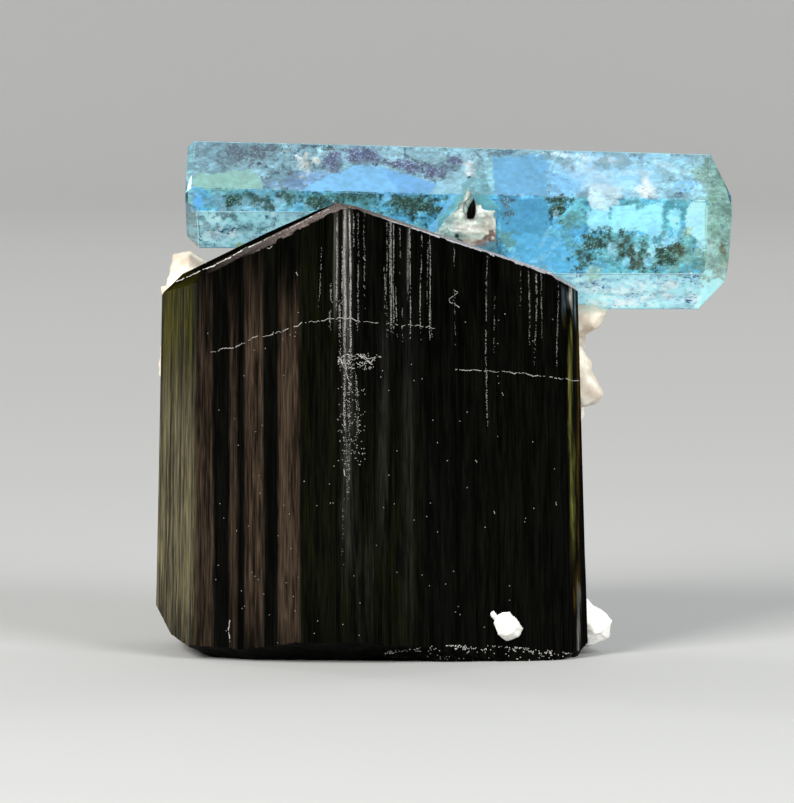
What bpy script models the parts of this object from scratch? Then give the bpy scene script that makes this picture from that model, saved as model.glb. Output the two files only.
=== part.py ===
"""Aquamarine crystal on black tourmaline, with feldspar: a natural mineral specimen.

A six-sided aquamarine prism lies across the low three-sided top of an upright, striated black
tourmaline. Feldspar fills the notch in the aquamarine, coats the back of the tourmaline and shows
as small lumps on its right side and front. The specimen stands on the broken base of the tourmaline.

Lengths are in millimetres until an object is made. X runs along the aquamarine, Y away from the
viewer and Z up. While the pieces are made, Y = 0 is the tourmaline's front edge and Z = 0 its base.
"""

import math

import bmesh
import bpy
import numpy as np
from mathutils import Matrix, Vector

# Driving dimensions
MM = 0.001
CONTACT_GAP = 0.3
BLANK = 200.0

# Black tourmaline
TOURMALINE_TOP = 51.2
CREST_HEIGHT = 50.7
CREST_X = -10.8
RHOMB_DIP = math.radians(27.3)
BACK_FACE_DIP = math.radians(33)
BACK_FACE_POINT = (-25.0, 12.5, 43.9)
TAPER_PER_MM = 0.0006
TAPER_CENTRE = Vector((-8.2, 12.0))
RIM_BEVEL = 0.42
RIDGE_WIDTH = 0.95
RIDGE_DEPTH = 0.26
RIDGE_TILT = 0.07
RIDGE_SEED = 7
SIDE_CORNERS = (
    (-8.8, 0.0),
    (-16.0, 0.6),
    (-27.5, 4.8),
    (-31.9, 16.1),
    (-30.3, 20.9),
    (-19.5, 30.4),
    (5.3, 22.4),
    (14.1, 12.8),
    (15.6, 6.9),
    (12.9, 4.6),
)
GROWTH_BANDS = ((-2.0, 11.0), (13.0, 26.0), (28.0, 37.0), (39.0, 60.0))
BAND_CHANGE_SHARE = 0.35

# Aquamarine
BERYL_SIDE = 8.9
BERYL_FRONT_Y = 6.0
BERYL_AXIS_Y = BERYL_FRONT_Y + BERYL_SIDE * math.cos(math.radians(30))
BERYL_AXIS_Z = 47.35
BERYL_RIGHT_END = 32.2
BERYL_LEFT_END = -28.4
BERYL_TILT = math.radians(0.75)
TOP_TAPER = 0.0095
BOTTOM_TAPER = 0.011
SLIM_TOP_RISE = 0.12
SLIM_DROP = 6.95
SLIM_MEETS_X = -9.0
THICK_START_X = -11.4
END_BEVELS = {"upper": (2.55, math.radians(37)), "lower": (3.35, math.radians(48))}
END_LEAN = 0.055
END_CORNER_ANGLE = math.radians(50)
END_CORNER_INSET = 1.9
BLUNT_EDGES = {"upper": 0.36, "lower": 0.95}

# Feldspar
BLOCK_SEED = 21


# Cutting solids out of a blank
def unit(*values):
    return Vector(values).normalized()


def plan_direction(azimuth, slope_angle):
    """A face's outward normal: the face dips by slope_angle towards azimuth, in degrees from +X."""
    a = math.radians(azimuth)
    sideways = math.sin(slope_angle)
    return Vector((math.cos(a) * sideways, math.sin(a) * sideways, math.cos(slope_angle)))


def slice_off(bm, point, normal):
    """Removes what lies beyond the plane and closes the cut."""
    found = bmesh.ops.bisect_plane(
        bm,
        geom=bm.verts[:] + bm.edges[:] + bm.faces[:],
        dist=1e-5,
        plane_co=point,
        plane_no=normal,
        clear_outer=True,
    )
    rim = [e for e in found["geom_cut"] if isinstance(e, bmesh.types.BMEdge) and len(e.link_faces) == 1]
    if rim:
        bmesh.ops.edgeloop_fill(bm, edges=rim)


def crystal_from_planes(planes, grow=0.0, centre=(0.0, 0.0, 0.0)):
    """The convex solid inside all the planes, each moved outwards by grow."""
    cut = bmesh.new()
    bmesh.ops.create_cube(cut, size=BLANK)
    bmesh.ops.translate(cut, verts=cut.verts, vec=centre)
    for point, normal in planes:
        n = Vector(normal).normalized()
        slice_off(cut, Vector(point) + n * grow, n)
    bmesh.ops.remove_doubles(cut, verts=cut.verts, dist=1e-3)
    solid = bmesh.new()
    for vert in cut.verts:
        solid.verts.new(vert.co)
    cut.free()
    hull = bmesh.ops.convex_hull(solid, input=solid.verts)
    inner = [v for v in hull["geom_interior"] if isinstance(v, bmesh.types.BMVert)]
    bmesh.ops.delete(solid, geom=inner, context="VERTS")
    bmesh.ops.dissolve_limit(solid, angle_limit=0.002, verts=solid.verts, edges=solid.edges)
    return solid


def node_from(name, bm, material=None):
    """Makes a mesh object, in metres, of a shape drawn in millimetres."""
    bmesh.ops.remove_doubles(bm, verts=bm.verts, dist=1e-4)
    bmesh.ops.recalc_face_normals(bm, faces=bm.faces)
    bmesh.ops.scale(bm, vec=(MM, MM, MM), verts=bm.verts)
    mesh = bpy.data.meshes.new(name)
    bm.to_mesh(mesh)
    bm.free()
    node = bpy.data.objects.new(name, mesh)
    bpy.context.scene.collection.objects.link(node)
    if material:
        mesh.materials.append(material)
    return node


def boolean(node, other, operation):
    """Joins or subtracts another object, keeps the result as a plain mesh and drops the other."""
    modifier = node.modifiers.new("boolean", "BOOLEAN")
    modifier.operation = operation
    modifier.solver = "EXACT"
    modifier.object = other
    bpy.context.view_layer.update()
    graph = bpy.context.evaluated_depsgraph_get()
    shaped = bpy.data.meshes.new_from_object(node.evaluated_get(graph))
    node.modifiers.clear()
    old = node.data
    node.data = shaped
    bpy.data.meshes.remove(old)
    bpy.data.objects.remove(other)
    shaped.name = node.name


def fuse(node, others):
    for other in others:
        boolean(node, other, "UNION")


def clear_of(node, others):
    for other in others:
        boolean(node, other, "DIFFERENCE")


def stone(name, colour, roughness, transmission=0.0, ior=1.5):
    material = bpy.data.materials.new(name)
    material.use_nodes = True
    shader = material.node_tree.nodes["Principled BSDF"]
    shader.inputs["Base Color"].default_value = (*colour, 1.0)
    shader.inputs["Roughness"].default_value = roughness
    shader.inputs["Metallic"].default_value = 0.0
    shader.inputs["Transmission Weight"].default_value = transmission
    shader.inputs["IOR"].default_value = ior
    return material


# Black tourmaline
def tapered(x, y, z):
    """A point of the tourmaline's side at height z: the prism narrows slightly upwards."""
    share = 1.0 - TAPER_PER_MM * z
    flat = TAPER_CENTRE + (Vector((x, y)) - TAPER_CENTRE) * share
    return flat.x, flat.y, z


def side_planes():
    """(point, normal) of each prism face, leaning in with the taper."""
    found = []
    count = len(SIDE_CORNERS)
    for i in range(count):
        a = Vector(tapered(*SIDE_CORNERS[i], 0.0))
        b = Vector(tapered(*SIDE_CORNERS[(i + 1) % count], 0.0))
        up = Vector(tapered(*SIDE_CORNERS[i], 50.0))
        normal = (up - a).cross(b - a).normalized()
        found.append((a, normal))
    return found


def top_planes():
    """The left and right rhombohedron faces, the back one and the small flat crest."""
    peak = (CREST_X, 0.0, TOURMALINE_TOP)
    return [
        (peak, plan_direction(183, RHOMB_DIP)),
        (peak, plan_direction(60, RHOMB_DIP)),
        (BACK_FACE_POINT, plan_direction(120, BACK_FACE_DIP)),
        ((0.0, 0.0, CREST_HEIGHT), Vector((0, 0, 1))),
    ]


def rim_planes():
    """Narrow bevels where the front prism faces meet the top faces."""
    sides = side_planes()
    tops = top_planes()
    pairs = ((9, 1), (0, 3), (0, 0), (1, 0), (2, 0), (8, 1))
    found = []
    for side, top in pairs:
        p1, n1 = sides[side]
        p2, n2 = tops[top]
        along = n1.cross(n2)
        edge = Matrix((n1, n2, along)).inverted() @ Vector((n1.dot(p1), n2.dot(p2), 0.0))
        normal = (n1 + n2).normalized()
        found.append((edge - normal * RIM_BEVEL, normal))
    return found


def base_planes():
    """The flat standing face, and the broken facets round its edge."""
    return [
        ((0.0, 0.0, 0.0), Vector((0, 0, -1))),
        ((-31.6, 10.0, 6.6), unit(-0.86, -0.1, -0.50)),
        ((-30.1, 10.0, 3.9), unit(-0.46, -0.08, -0.88)),
        ((-27.2, 5.0, 2.2), unit(-0.14, -0.42, -0.9)),
        ((-9.0, 0.0, 1.25), unit(-0.02, -0.42, -0.9)),
        ((3.0, 3.0, 1.35), unit(0.10, -0.52, -0.85)),
        ((13.5, 5.0, 1.2), unit(0.52, -0.34, -0.8)),
        ((15.4, 9.0, 1.6), unit(0.72, 0.1, -0.68)),
        ((8.0, 20.0, 1.0), unit(0.45, 0.5, -0.74)),
        ((-7.0, 26.4, 1.6), unit(0.10, 0.62, -0.78)),
        ((-26.0, 25.0, 1.8), unit(-0.55, 0.45, -0.7)),
    ]


def striated_ring(rng):
    """The prism's outline as narrow ridges: (point, inward, depth per growth band) for each corner."""
    ring = []
    count = len(SIDE_CORNERS)
    for i in range(count):
        a, b = Vector(SIDE_CORNERS[i]), Vector(SIDE_CORNERS[(i + 1) % count])
        along = (b - a).normalized()
        inward = Vector((along.y, -along.x))
        ridges = max(2, round((b - a).length / RIDGE_WIDTH))
        cuts = np.linspace(0.0, 1.0, ridges + 1)
        cuts[1:-1] += rng.uniform(-0.33, 0.33, ridges - 1) / ridges
        for start, end in zip(cuts[:-1], cuts[1:]):
            depths = [rng.uniform(0.0, RIDGE_DEPTH)]
            for _ in GROWTH_BANDS[1:]:
                changed = rng.random() < BAND_CHANGE_SHARE
                depths.append(rng.uniform(0.0, RIDGE_DEPTH) if changed else depths[-1])
            tilt = rng.uniform(0.0, RIDGE_TILT)
            margin = 0.06 * (end - start)
            for share, extra in ((start + margin, 0.0), (end - margin, tilt)):
                ring.append((a.lerp(b, share), inward, [d + extra for d in depths]))
    return ring


def tourmaline_blank(rng):
    """The striated prism before its top and base are cut: one ring at each end of each growth band."""
    ring = striated_ring(rng)
    bm = bmesh.new()
    levels = []
    for band, heights in enumerate(GROWTH_BANDS):
        for z in heights:
            level = []
            for point, inward, depths in ring:
                flat = point + inward * depths[band]
                level.append(bm.verts.new(tapered(flat.x, flat.y, z)))
            levels.append(level)
    for low, high in zip(levels[:-1], levels[1:]):
        for i in range(len(ring)):
            j = (i + 1) % len(ring)
            bm.faces.new((low[i], low[j], high[j], high[i]))
    bm.faces.new(levels[0])
    bm.faces.new(levels[-1])
    bmesh.ops.recalc_face_normals(bm, faces=bm.faces)
    return bm


def tourmaline(material):
    bm = tourmaline_blank(np.random.default_rng(RIDGE_SEED))
    for point, normal in top_planes() + rim_planes() + base_planes():
        slice_off(bm, point, normal)
    return node_from("black_tourmaline", bm, material)


def tourmaline_clearance():
    """The tourmaline's plain convex envelope, grown by the contact gap, for cutting its neighbours."""
    planes = side_planes() + top_planes() + rim_planes() + base_planes()
    return node_from("tourmaline_clearance", crystal_from_planes(planes, CONTACT_GAP))


# Aquamarine
def hexagon_faces(side, axis_y, axis_z, lower_lift=0.0):
    """(point, normal) of the six prism faces. lower_lift raises the two lower ones."""
    reach = side * math.cos(math.radians(30))
    found = []
    for k in range(6):
        a = math.radians(60 * k)
        normal = Vector((0.0, -math.cos(a), math.sin(a)))
        point = Vector((0.0, axis_y, axis_z)) + normal * reach
        if normal.z < -0.1:
            point.z += lower_lift
            normal.x = BOTTOM_TAPER
        elif normal.z > 0.1:
            normal.x = TOP_TAPER
        found.append((point, normal.normalized()))
    return found


def hexagon_corners(side):
    """Directions of the six prism edges from the axis, with their distance."""
    for k in range(6):
        a = math.radians(60 * k + 30)
        yield Vector((0.0, -math.cos(a), math.sin(a))), side


def right_end_planes():
    """The flat basal face, the six pyramid bevels round it and a small facet on each prism edge."""
    axis = Vector((BERYL_RIGHT_END, BERYL_AXIS_Y, BERYL_AXIS_Z))
    found = [(axis + Vector((0.35, 0, 0)), unit(1, 0, -END_LEAN))]
    for point, normal in hexagon_faces(BERYL_SIDE, BERYL_AXIS_Y, BERYL_AXIS_Z):
        length, angle = END_BEVELS["lower" if normal.z < -0.1 else "upper"]
        outward = Vector((0, normal.y, normal.z))
        on_face = Vector((axis.x - length, point.y, point.z))
        found.append((on_face, Vector((math.cos(angle), 0, 0)) + outward * math.sin(angle)))
    for outward, distance in hexagon_corners(BERYL_SIDE):
        corner = Vector((axis.x - END_CORNER_INSET, axis.y, axis.z)) + outward * (distance - 0.45)
        tilt = Vector((math.cos(END_CORNER_ANGLE), 0, 0)) + outward * math.sin(END_CORNER_ANGLE)
        found.append((corner, tilt))
    return found


def blunt_planes(end_x, lower_lift):
    """The left end: a flat face with its edges slightly blunted."""
    found = [((end_x, BERYL_AXIS_Y, BERYL_AXIS_Z), Vector((-1, 0, 0)))]
    faces = hexagon_faces(BERYL_SIDE + SLIM_TOP_RISE, BERYL_AXIS_Y, BERYL_AXIS_Z, lower_lift)
    for point, normal in faces:
        inset = BLUNT_EDGES["lower" if normal.z < -0.1 else "upper"]
        found.append((Vector((end_x + inset, point.y, point.z)), Vector((-1, 0, 0)) + normal * 1.1))
    return found


def slim_planes():
    """The left part: the same upper faces, and lower faces that lie higher than the right part's."""
    faces = hexagon_faces(BERYL_SIDE + SLIM_TOP_RISE, BERYL_AXIS_Y, BERYL_AXIS_Z, SLIM_DROP)
    right_end = [((SLIM_MEETS_X, BERYL_AXIS_Y, BERYL_AXIS_Z), Vector((1, 0, 0)))]
    return faces + blunt_planes(BERYL_LEFT_END, SLIM_DROP) + right_end


def thick_planes():
    """The right part, whose left end is an oblique step hidden in the tourmaline."""
    step = ((THICK_START_X, BERYL_FRONT_Y, BERYL_AXIS_Z), unit(-1.0, 0.12, -0.2))
    return hexagon_faces(BERYL_SIDE, BERYL_AXIS_Y, BERYL_AXIS_Z) + right_end_planes() + [step]


def notch_parts(inset=0.0):
    """The notch in the aquamarine's front, open below: a roof-shaped hollow and a square one."""
    back = ((0.0, BERYL_FRONT_Y + 3.4, 50.0), unit(0.0, 1.0, 0.30))
    front = ((0.0, BERYL_FRONT_Y - 4.0, 50.0), Vector((0, -1, 0)))
    bottom = ((0.0, 0.0, 40.5), Vector((0, 0, -1)))
    roof = Vector((2.75, BERYL_FRONT_Y, 52.9))
    parts = (
        ((roof, unit(-0.79, 0.20, 0.56)), (roof, unit(0.74, 0.26, 0.62)), ((4.6, 0, 0), unit(1, 0, 0))),
        (((3.1, 0, 0), unit(-1, 0, 0)), ((6.2, 6, 47), unit(0.99, 0.2, 0.02)), ((0, 6, 50.7), unit(0.06, 0.3, 1))),
    )
    for walls in parts:
        moved = [(Vector(p) - n * inset, n) for p, n in (*walls, back)]
        yield moved + [front, bottom]


def tilted(node):
    """Turns the aquamarine a little about Y, so that it falls to the right."""
    middle = Vector((0.0, BERYL_AXIS_Y, BERYL_AXIS_Z)) * MM
    turn = Matrix.Translation(middle) @ Matrix.Rotation(BERYL_TILT, 4, "Y") @ Matrix.Translation(-middle)
    node.data.transform(turn)
    return node


def aquamarine(material):
    slim = crystal_from_planes(slim_planes())
    node = node_from("aquamarine_crystal", slim, material)
    fuse(node, [node_from("thick_part", crystal_from_planes(thick_planes()))])
    clear_of(node, [node_from("notch", crystal_from_planes(planes)) for planes in notch_parts()])
    return tilted(node)


def aquamarine_clearance():
    """Both parts of the aquamarine, grown by the contact gap, without the notch."""
    slim = node_from("slim_clearance", crystal_from_planes(slim_planes(), CONTACT_GAP))
    thick = node_from("thick_clearance", crystal_from_planes(thick_planes(), CONTACT_GAP))
    boolean(slim, thick, "UNION")
    return tilted(slim)


# Feldspar
def block(centre, size, turn, rng, chips=5):
    """One blocky feldspar crystal: a skewed box with a few corners broken off."""
    turned = Matrix.Rotation(math.radians(turn[2]), 3, "Z") @ Matrix.Rotation(math.radians(turn[1]), 3, "Y")
    turned = turned @ Matrix.Rotation(math.radians(turn[0]), 3, "X")
    half = [s / 2 for s in size]
    skew = 0.18
    normals = [
        Vector((1, 0, skew)),
        Vector((-1, 0, -skew)),
        Vector((0, 1, 0)),
        Vector((0, -1, 0)),
        Vector((0, 0, 1)),
        Vector((0, 0, -1)),
    ]
    planes = []
    for axis, normal in enumerate(normals):
        n = turned @ normal.normalized()
        planes.append((Vector(centre) + n * half[axis // 2], n))
    for _ in range(chips):
        corner = Vector([rng.choice((-1, 1)) * rng.uniform(0.6, 1.0) for _ in range(3)])
        n = turned @ corner.normalized()
        reach = sum(abs(corner.normalized()[i]) * half[i] for i in range(3))
        planes.append((Vector(centre) + n * reach * rng.uniform(0.66, 0.84), n))
    return crystal_from_planes(planes, 0.0, centre)


MATRIX_BLOCKS = (
    ((-25.6, 23.6, 37.0), (8.4, 7.0, 8.0), (6, -12, 30)),
    ((-26.6, 23.2, 31.4), (6.4, 7.0, 7.4), (0, 8, 34)),
    ((-23.0, 28.6, 34.0), (12.0, 9.0, 12.0), (8, 10, 35)),
    ((-13.0, 30.2, 37.5), (12.0, 8.0, 10.0), (-10, 6, -8)),
    ((-3.5, 26.6, 37.0), (12.0, 9.0, 9.5), (12, -8, -22)),
    ((5.0, 22.5, 35.2), (10.0, 9.0, 9.0), (4, 14, -40)),
    ((10.6, 19.0, 33.4), (9.0, 8.0, 8.0), (0, -18, -40)),
    ((12.6, 14.8, 30.0), (5.0, 7.0, 8.4), (6, 4, -12)),
    ((6.6, 21.4, 28.6), (9.0, 8.0, 7.6), (0, -12, -44)),
    ((-6.0, 28.2, 28.0), (11.0, 8.0, 11.0), (-6, 18, -20)),
    ((-17.0, 30.6, 27.0), (10.0, 7.5, 9.0), (10, -14, 6)),
    ((-10.0, 28.6, 19.6), (8.0, 6.5, 9.0), (0, 30, -14)),
    ((1.5, 24.0, 20.8), (7.5, 6.0, 7.0), (14, -20, -32)),
)
LEFT_LUMP = (
    (
        (-31.4, 40.6), (-30.6, 42.8), (-30.4, 44.1), (-28.5, 44.5), (-27.3, 44.0), (-24.2, 41.6),
        (-24.5, 36.5), (-29.6, 36.5),
    ),
    (15.5, 24.0),
)
LEFT_SLIVER = (
    (
        (-31.9, 33.6), (-31.6, 34.9), (-27.6, 34.4), (-27.6, 29.3), (-31.6, 29.5), (-32.0, 31.0),
    ),
    (16.5, 22.0),
)
RIGHT_UPPER_LUMP = (
    (
        (13.3, 39.4), (16.8, 39.2), (18.6, 38.4), (18.1, 37.4), (17.8, 36.4), (16.0, 35.5),
        (12.9, 34.5), (9.8, 37.0),
    ),
    (9.5, 17.0),
)
RIGHT_LOWER_LUMP = (
    (
        (14.3, 35.6), (16.9, 32.5), (16.7, 31.7), (17.4, 30.5), (18.0, 29.0), (17.3, 27.8),
        (15.8, 27.3), (10.8, 27.2), (10.8, 34.0),
    ),
    (9.6, 16.5),
)
FOOT = (
    (
        (14.7, 6.1), (16.2, 6.0), (17.2, 5.0), (18.6, 4.2), (19.0, 3.7), (18.7, 1.7), (16.4, 0.6),
        (13.5, 0.7), (13.3, 4.7),
    ),
    (8.0, 14.5),
)
BUD = (
    (
        (5.4, 4.5), (5.7, 5.2), (6.5, 5.7), (7.4, 5.8), (8.4, 4.8), (9.0, 3.8), (8.5, 2.7),
        (7.1, 2.2), (6.1, 3.0),
    ),
    (1.7, 6.0),
)
BUD_KNOB = (
    (
        (5.2, 5.2), (5.2, 5.7), (5.7, 5.9), (6.0, 5.5), (6.0, 4.8), (5.6, 4.6),
    ),
    (2.3, 5.0),
)
SADDLE_BLOCKS = (
    ((1.6, 8.2, 46.6), (8.0, 5.0, 6.4), (4, -24, 4)),
    ((2.4, 8.4, 50.6), (4.4, 5.0, 5.4), (0, 32, -5)),
    ((5.2, 8.2, 47.4), (4.6, 5.2, 8.2), (0, -4, 5)),
    ((3.4, 8.0, 46.2), (5.6, 5.4, 4.0), (10, 8, 2)),
)
BLADE_CENTRE = (3.3, 6.2, 50.5)
BLADE_SIZE = (0.86, 1.7, 2.3)


def lump(outline, depths, rng):
    """A broken grain with the given (x, z) outline, narrower towards its front and back."""
    front, back = depths
    middle = Vector([sum(p[i] for p in outline) / len(outline) for i in (0, 1)])
    steps = ((0.0, 0.52), (0.16, 0.86), (0.42, 1.0), (0.8, 0.96), (1.0, 0.7))
    bm = bmesh.new()
    rings = []
    for share, size in steps:
        ring = []
        for p in outline:
            stray = 0.0 if size == 1.0 else rng.uniform(-0.07, 0.07)
            x, z = middle + (Vector(p) - middle) * (size + stray)
            ring.append(bm.verts.new((x, front + (back - front) * (share + rng.uniform(-0.05, 0.05)), z)))
        rings.append(ring)
    for low, high in zip(rings[:-1], rings[1:]):
        for i in range(len(outline)):
            j = (i + 1) % len(outline)
            bm.faces.new((low[i], low[j], high[j], high[i]))
    for ring, share in ((rings[0], -0.03), (rings[-1], 1.03)):
        tip = bm.verts.new((middle.x, front + (back - front) * share, middle.y))
        for i in range(len(outline)):
            bm.faces.new((ring[i], ring[(i + 1) % len(outline)], tip))
    bmesh.ops.triangulate(bm, faces=bm.faces)
    return bm


def feldspar(name, blocks, lumps, material, seed):
    rng = np.random.default_rng(seed)
    made = [node_from(f"{name}_block", block(*b, rng)) for b in blocks]
    made += [node_from(f"{name}_lump", lump(*l, rng)) for l in lumps]
    node = made[0]
    node.name = name
    node.data.materials.append(material)
    fuse(node, made[1:])
    return node


def blade_planes():
    """A slim black tourmaline blade, pointed at its upper end."""
    x, y, z = BLADE_CENTRE
    wide, deep, tall = (v / 2 for v in BLADE_SIZE)
    return [
        ((x - wide, y, z), unit(-1, 0, 0.34)),
        ((x - wide, y, z - 0.3), unit(-1, 0, -0.18)),
        ((x + wide, y, z), unit(1, 0, 0.22)),
        ((x + wide, y, z - 0.3), unit(1, 0, -0.22)),
        ((x, y - deep, z), unit(0.15, -1, 0)),
        ((x, y - deep, z), unit(-0.25, -1, 0.05)),
        ((x, y + deep, z), unit(0, 1, 0)),
        ((x, y, z + tall), unit(0.1, -0.2, 1)),
        ((x, y, z - tall), unit(0, 0, -1)),
    ]


# The whole specimen
def clear_scene():
    for obj in list(bpy.data.objects):
        bpy.data.objects.remove(obj)


def stand_on_origin(nodes):
    """Moves the specimen so that the bottom centre of its box is the origin."""
    points = np.array([v.co[:] for node in nodes for v in node.data.vertices])
    low, high = points.min(0), points.max(0)
    shift = Vector((-(low[0] + high[0]) / 2, -(low[1] + high[1]) / 2, -low[2]))
    for node in nodes:
        node.data.transform(Matrix.Translation(shift))


def main():
    clear_scene()
    black = stone("tourmaline_black", (0.012, 0.011, 0.009), 0.22, ior=1.64)
    blue = stone("aquamarine_blue", (0.42, 0.72, 0.86), 0.06, 0.9, 1.577)
    cream = stone("feldspar_cream", (0.80, 0.74, 0.66), 0.6)

    beryl = aquamarine(blue)
    base = tourmaline(black)
    clear_of(base, [aquamarine_clearance()])

    lumps = (LEFT_LUMP, LEFT_SLIVER, RIGHT_UPPER_LUMP, RIGHT_LOWER_LUMP)
    matrix = feldspar("feldspar_matrix", MATRIX_BLOCKS, lumps, cream, BLOCK_SEED)
    clear_of(matrix, [tourmaline_clearance(), aquamarine_clearance()])
    foot = feldspar("feldspar_foot", (), (FOOT,), cream, BLOCK_SEED + 1)
    clear_of(foot, [tourmaline_clearance()])
    bud = feldspar("feldspar_bud", (), (BUD, BUD_KNOB), cream, BLOCK_SEED + 2)
    clear_of(bud, [tourmaline_clearance()])

    saddle = feldspar("feldspar_saddle", SADDLE_BLOCKS, (), cream, BLOCK_SEED + 3)
    fits = [node_from("fit", crystal_from_planes(planes)) for planes in notch_parts(CONTACT_GAP)]
    boolean(fits[0], fits[1], "UNION")
    boolean(saddle, tilted(fits[0]), "INTERSECT")
    clear_of(saddle, [tourmaline_clearance()])
    pocket = node_from("pocket", crystal_from_planes(blade_planes(), CONTACT_GAP))
    clear_of(saddle, [pocket])
    blade = node_from("tourmaline_blade", crystal_from_planes(blade_planes()), black)

    stand_on_origin([beryl, base, matrix, foot, bud, saddle, blade])


main()
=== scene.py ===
# %% [markdown]
# # Aquamarine on black tourmaline
# The specimen is a natural one: a six-sided aquamarine (blue beryl) prism lies across the top of an
# upright black tourmaline, and a little cream feldspar holds on to both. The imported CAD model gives
# every solid its place and size. This script gives each one its surface: striations on the
# tourmaline, a clear shell with veils and flakes inside for the aquamarine, and broken cleavage
# for the feldspar.

# %% Load the frame
import math

import bmesh
import bpy
import numpy as np
from mathutils import Matrix, Vector
from mathutils.bvhtree import BVHTree


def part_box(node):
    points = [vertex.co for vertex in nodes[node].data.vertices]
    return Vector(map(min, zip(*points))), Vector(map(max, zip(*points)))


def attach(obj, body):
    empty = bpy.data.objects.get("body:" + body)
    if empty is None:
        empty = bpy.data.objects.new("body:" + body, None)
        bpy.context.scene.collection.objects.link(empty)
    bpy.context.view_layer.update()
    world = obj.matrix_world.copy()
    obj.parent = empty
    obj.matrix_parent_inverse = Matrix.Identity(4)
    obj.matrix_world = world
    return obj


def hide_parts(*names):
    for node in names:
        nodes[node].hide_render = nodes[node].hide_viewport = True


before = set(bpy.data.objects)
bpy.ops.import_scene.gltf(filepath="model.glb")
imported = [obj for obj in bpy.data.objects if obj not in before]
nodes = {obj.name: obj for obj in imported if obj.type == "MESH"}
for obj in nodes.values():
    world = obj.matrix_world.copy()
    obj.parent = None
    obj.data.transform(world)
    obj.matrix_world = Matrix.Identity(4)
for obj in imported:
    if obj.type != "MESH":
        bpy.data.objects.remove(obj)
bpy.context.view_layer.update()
MM = 0.001
print("solids in the frame:", sorted(nodes))

# %% [markdown]
# ## The drawing frame
# The solids were drawn in millimetres with Y = 0 at the tourmaline's front edge. The aquamarine's
# box fixes where that drawing frame lies, so every size below can be read in real millimetres.

# %% Millimetres of the drawing frame
BERYL_RIGHT_TIP_MM = 32.827
BERYL_FRONT_MM = 5.896
beryl_low, beryl_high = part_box("aquamarine_crystal")
DRAWING_SHIFT = np.array([beryl_high.x / MM - BERYL_RIGHT_TIP_MM, beryl_low.y / MM - BERYL_FRONT_MM, 0.0])
print("drawing frame shift in mm:", DRAWING_SHIFT.round(3))


def to_frame(points_mm):
    """Drawing millimetres to metres of the frame."""
    return (np.asarray(points_mm, float) + DRAWING_SHIFT) * MM


def to_drawing(points_m):
    return np.asarray(points_m, float) / MM - DRAWING_SHIFT


def shown(name, data):
    """A new object of the data, in the scene."""
    item = bpy.data.objects.new(name, data)
    bpy.context.scene.collection.objects.link(item)
    return item


# %% [markdown]
# ## Camera
# A mineral is photographed with a long lens from a little above, so the prism's edges stay almost
# parallel. The camera stands 700 mm away, 5.3 degrees above the middle, and looks along +Y.

# %% Camera
IMAGE_SIZE = (794, 803)
CAMERA_DISTANCE_MM = 700.0
CAMERA_ELEVATION = math.radians(5.3)
PIXEL_MM = 0.11
VIEW_CENTRE_MM = np.array([-5.06, 0.0, 29.315])
LOOK = np.array([0.0, math.cos(CAMERA_ELEVATION), -math.sin(CAMERA_ELEVATION)])
UP = np.array([0.0, math.sin(CAMERA_ELEVATION), math.cos(CAMERA_ELEVATION)])
EYE_MM = VIEW_CENTRE_MM - LOOK * CAMERA_DISTANCE_MM

camera_data = bpy.data.cameras.new("camera")
camera_data.sensor_width = 36.0
camera_data.sensor_fit = "HORIZONTAL"
camera_data.lens = 36.0 * CAMERA_DISTANCE_MM / (IMAGE_SIZE[0] * PIXEL_MM)
camera_data.clip_start = 0.01
camera_data.clip_end = 20.0
camera = shown("camera", camera_data)
camera.location = to_frame(EYE_MM)
camera.rotation_euler = Vector(LOOK).to_track_quat("-Z", "Y").to_euler()
bpy.context.scene.camera = camera
print("lens in mm:", round(camera_data.lens, 1))


def pixel_of(points_mm):
    """Where drawing points fall in the photo's 794 x 803 frame, as (x, y down) columns."""
    away = np.asarray(points_mm, float) - EYE_MM
    depth = away @ LOOK
    right = away[:, 0] / depth * CAMERA_DISTANCE_MM / PIXEL_MM
    up = (away @ UP) / depth * CAMERA_DISTANCE_MM / PIXEL_MM
    return np.column_stack((IMAGE_SIZE[0] / 2 + right, IMAGE_SIZE[1] / 2 - up))


# %% [markdown]
# ## Noise and colour helpers
# Natural stone has no repeated pattern. Value noise on a lattice of hashed numbers gives the same
# cloudiness on every run, and is fast on a whole mesh at once. Colours are written as the sRGB hex
# values that the eye would match, and turned to linear light in one place.


# %% Noise and colour
def hashed(cells, seed):
    """A repeatable number from 0 to 1 for each whole-number cell."""
    c = cells.astype(np.int64)
    h = c[:, 0] * 73856093 ^ c[:, 1] * 19349663 ^ c[:, 2] * 83492791 ^ (seed * 2654435761)
    h = (h ^ (h >> 13)) * 1274126177 & 0xFFFFFFFF
    h = (h ^ (h >> 16)) * 668265263 & 0xFFFFFFFF
    return (h & 0xFFFFFF) / 0xFFFFFF


def value_noise(points, seed):
    """Smooth noise from 0 to 1 between the hashed numbers of a unit lattice."""
    base = np.floor(points)
    f = points - base
    f = f * f * f * (f * (f * 6 - 15) + 10)
    total = np.zeros(len(points))
    for corner in range(8):
        step = np.array([corner & 1, corner >> 1 & 1, corner >> 2 & 1])
        share = np.prod(np.where(step, f, 1 - f), axis=1)
        total += share * hashed(base + step, seed)
    return total


def cloud(points, size, seed, octaves=4, gain=0.5):
    """Fractal noise from 0 to 1. size is the largest blob's, in the points' own unit, per axis."""
    p = np.asarray(points, float) / np.asarray(size, float)
    total, weight, amount = 0.0, 0.0, 1.0
    for octave in range(octaves):
        total = total + value_noise(p + 17.3 * octave, seed + octave) * amount
        weight += amount
        amount *= gain
        p = p * 2.03
    return total / weight


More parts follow.
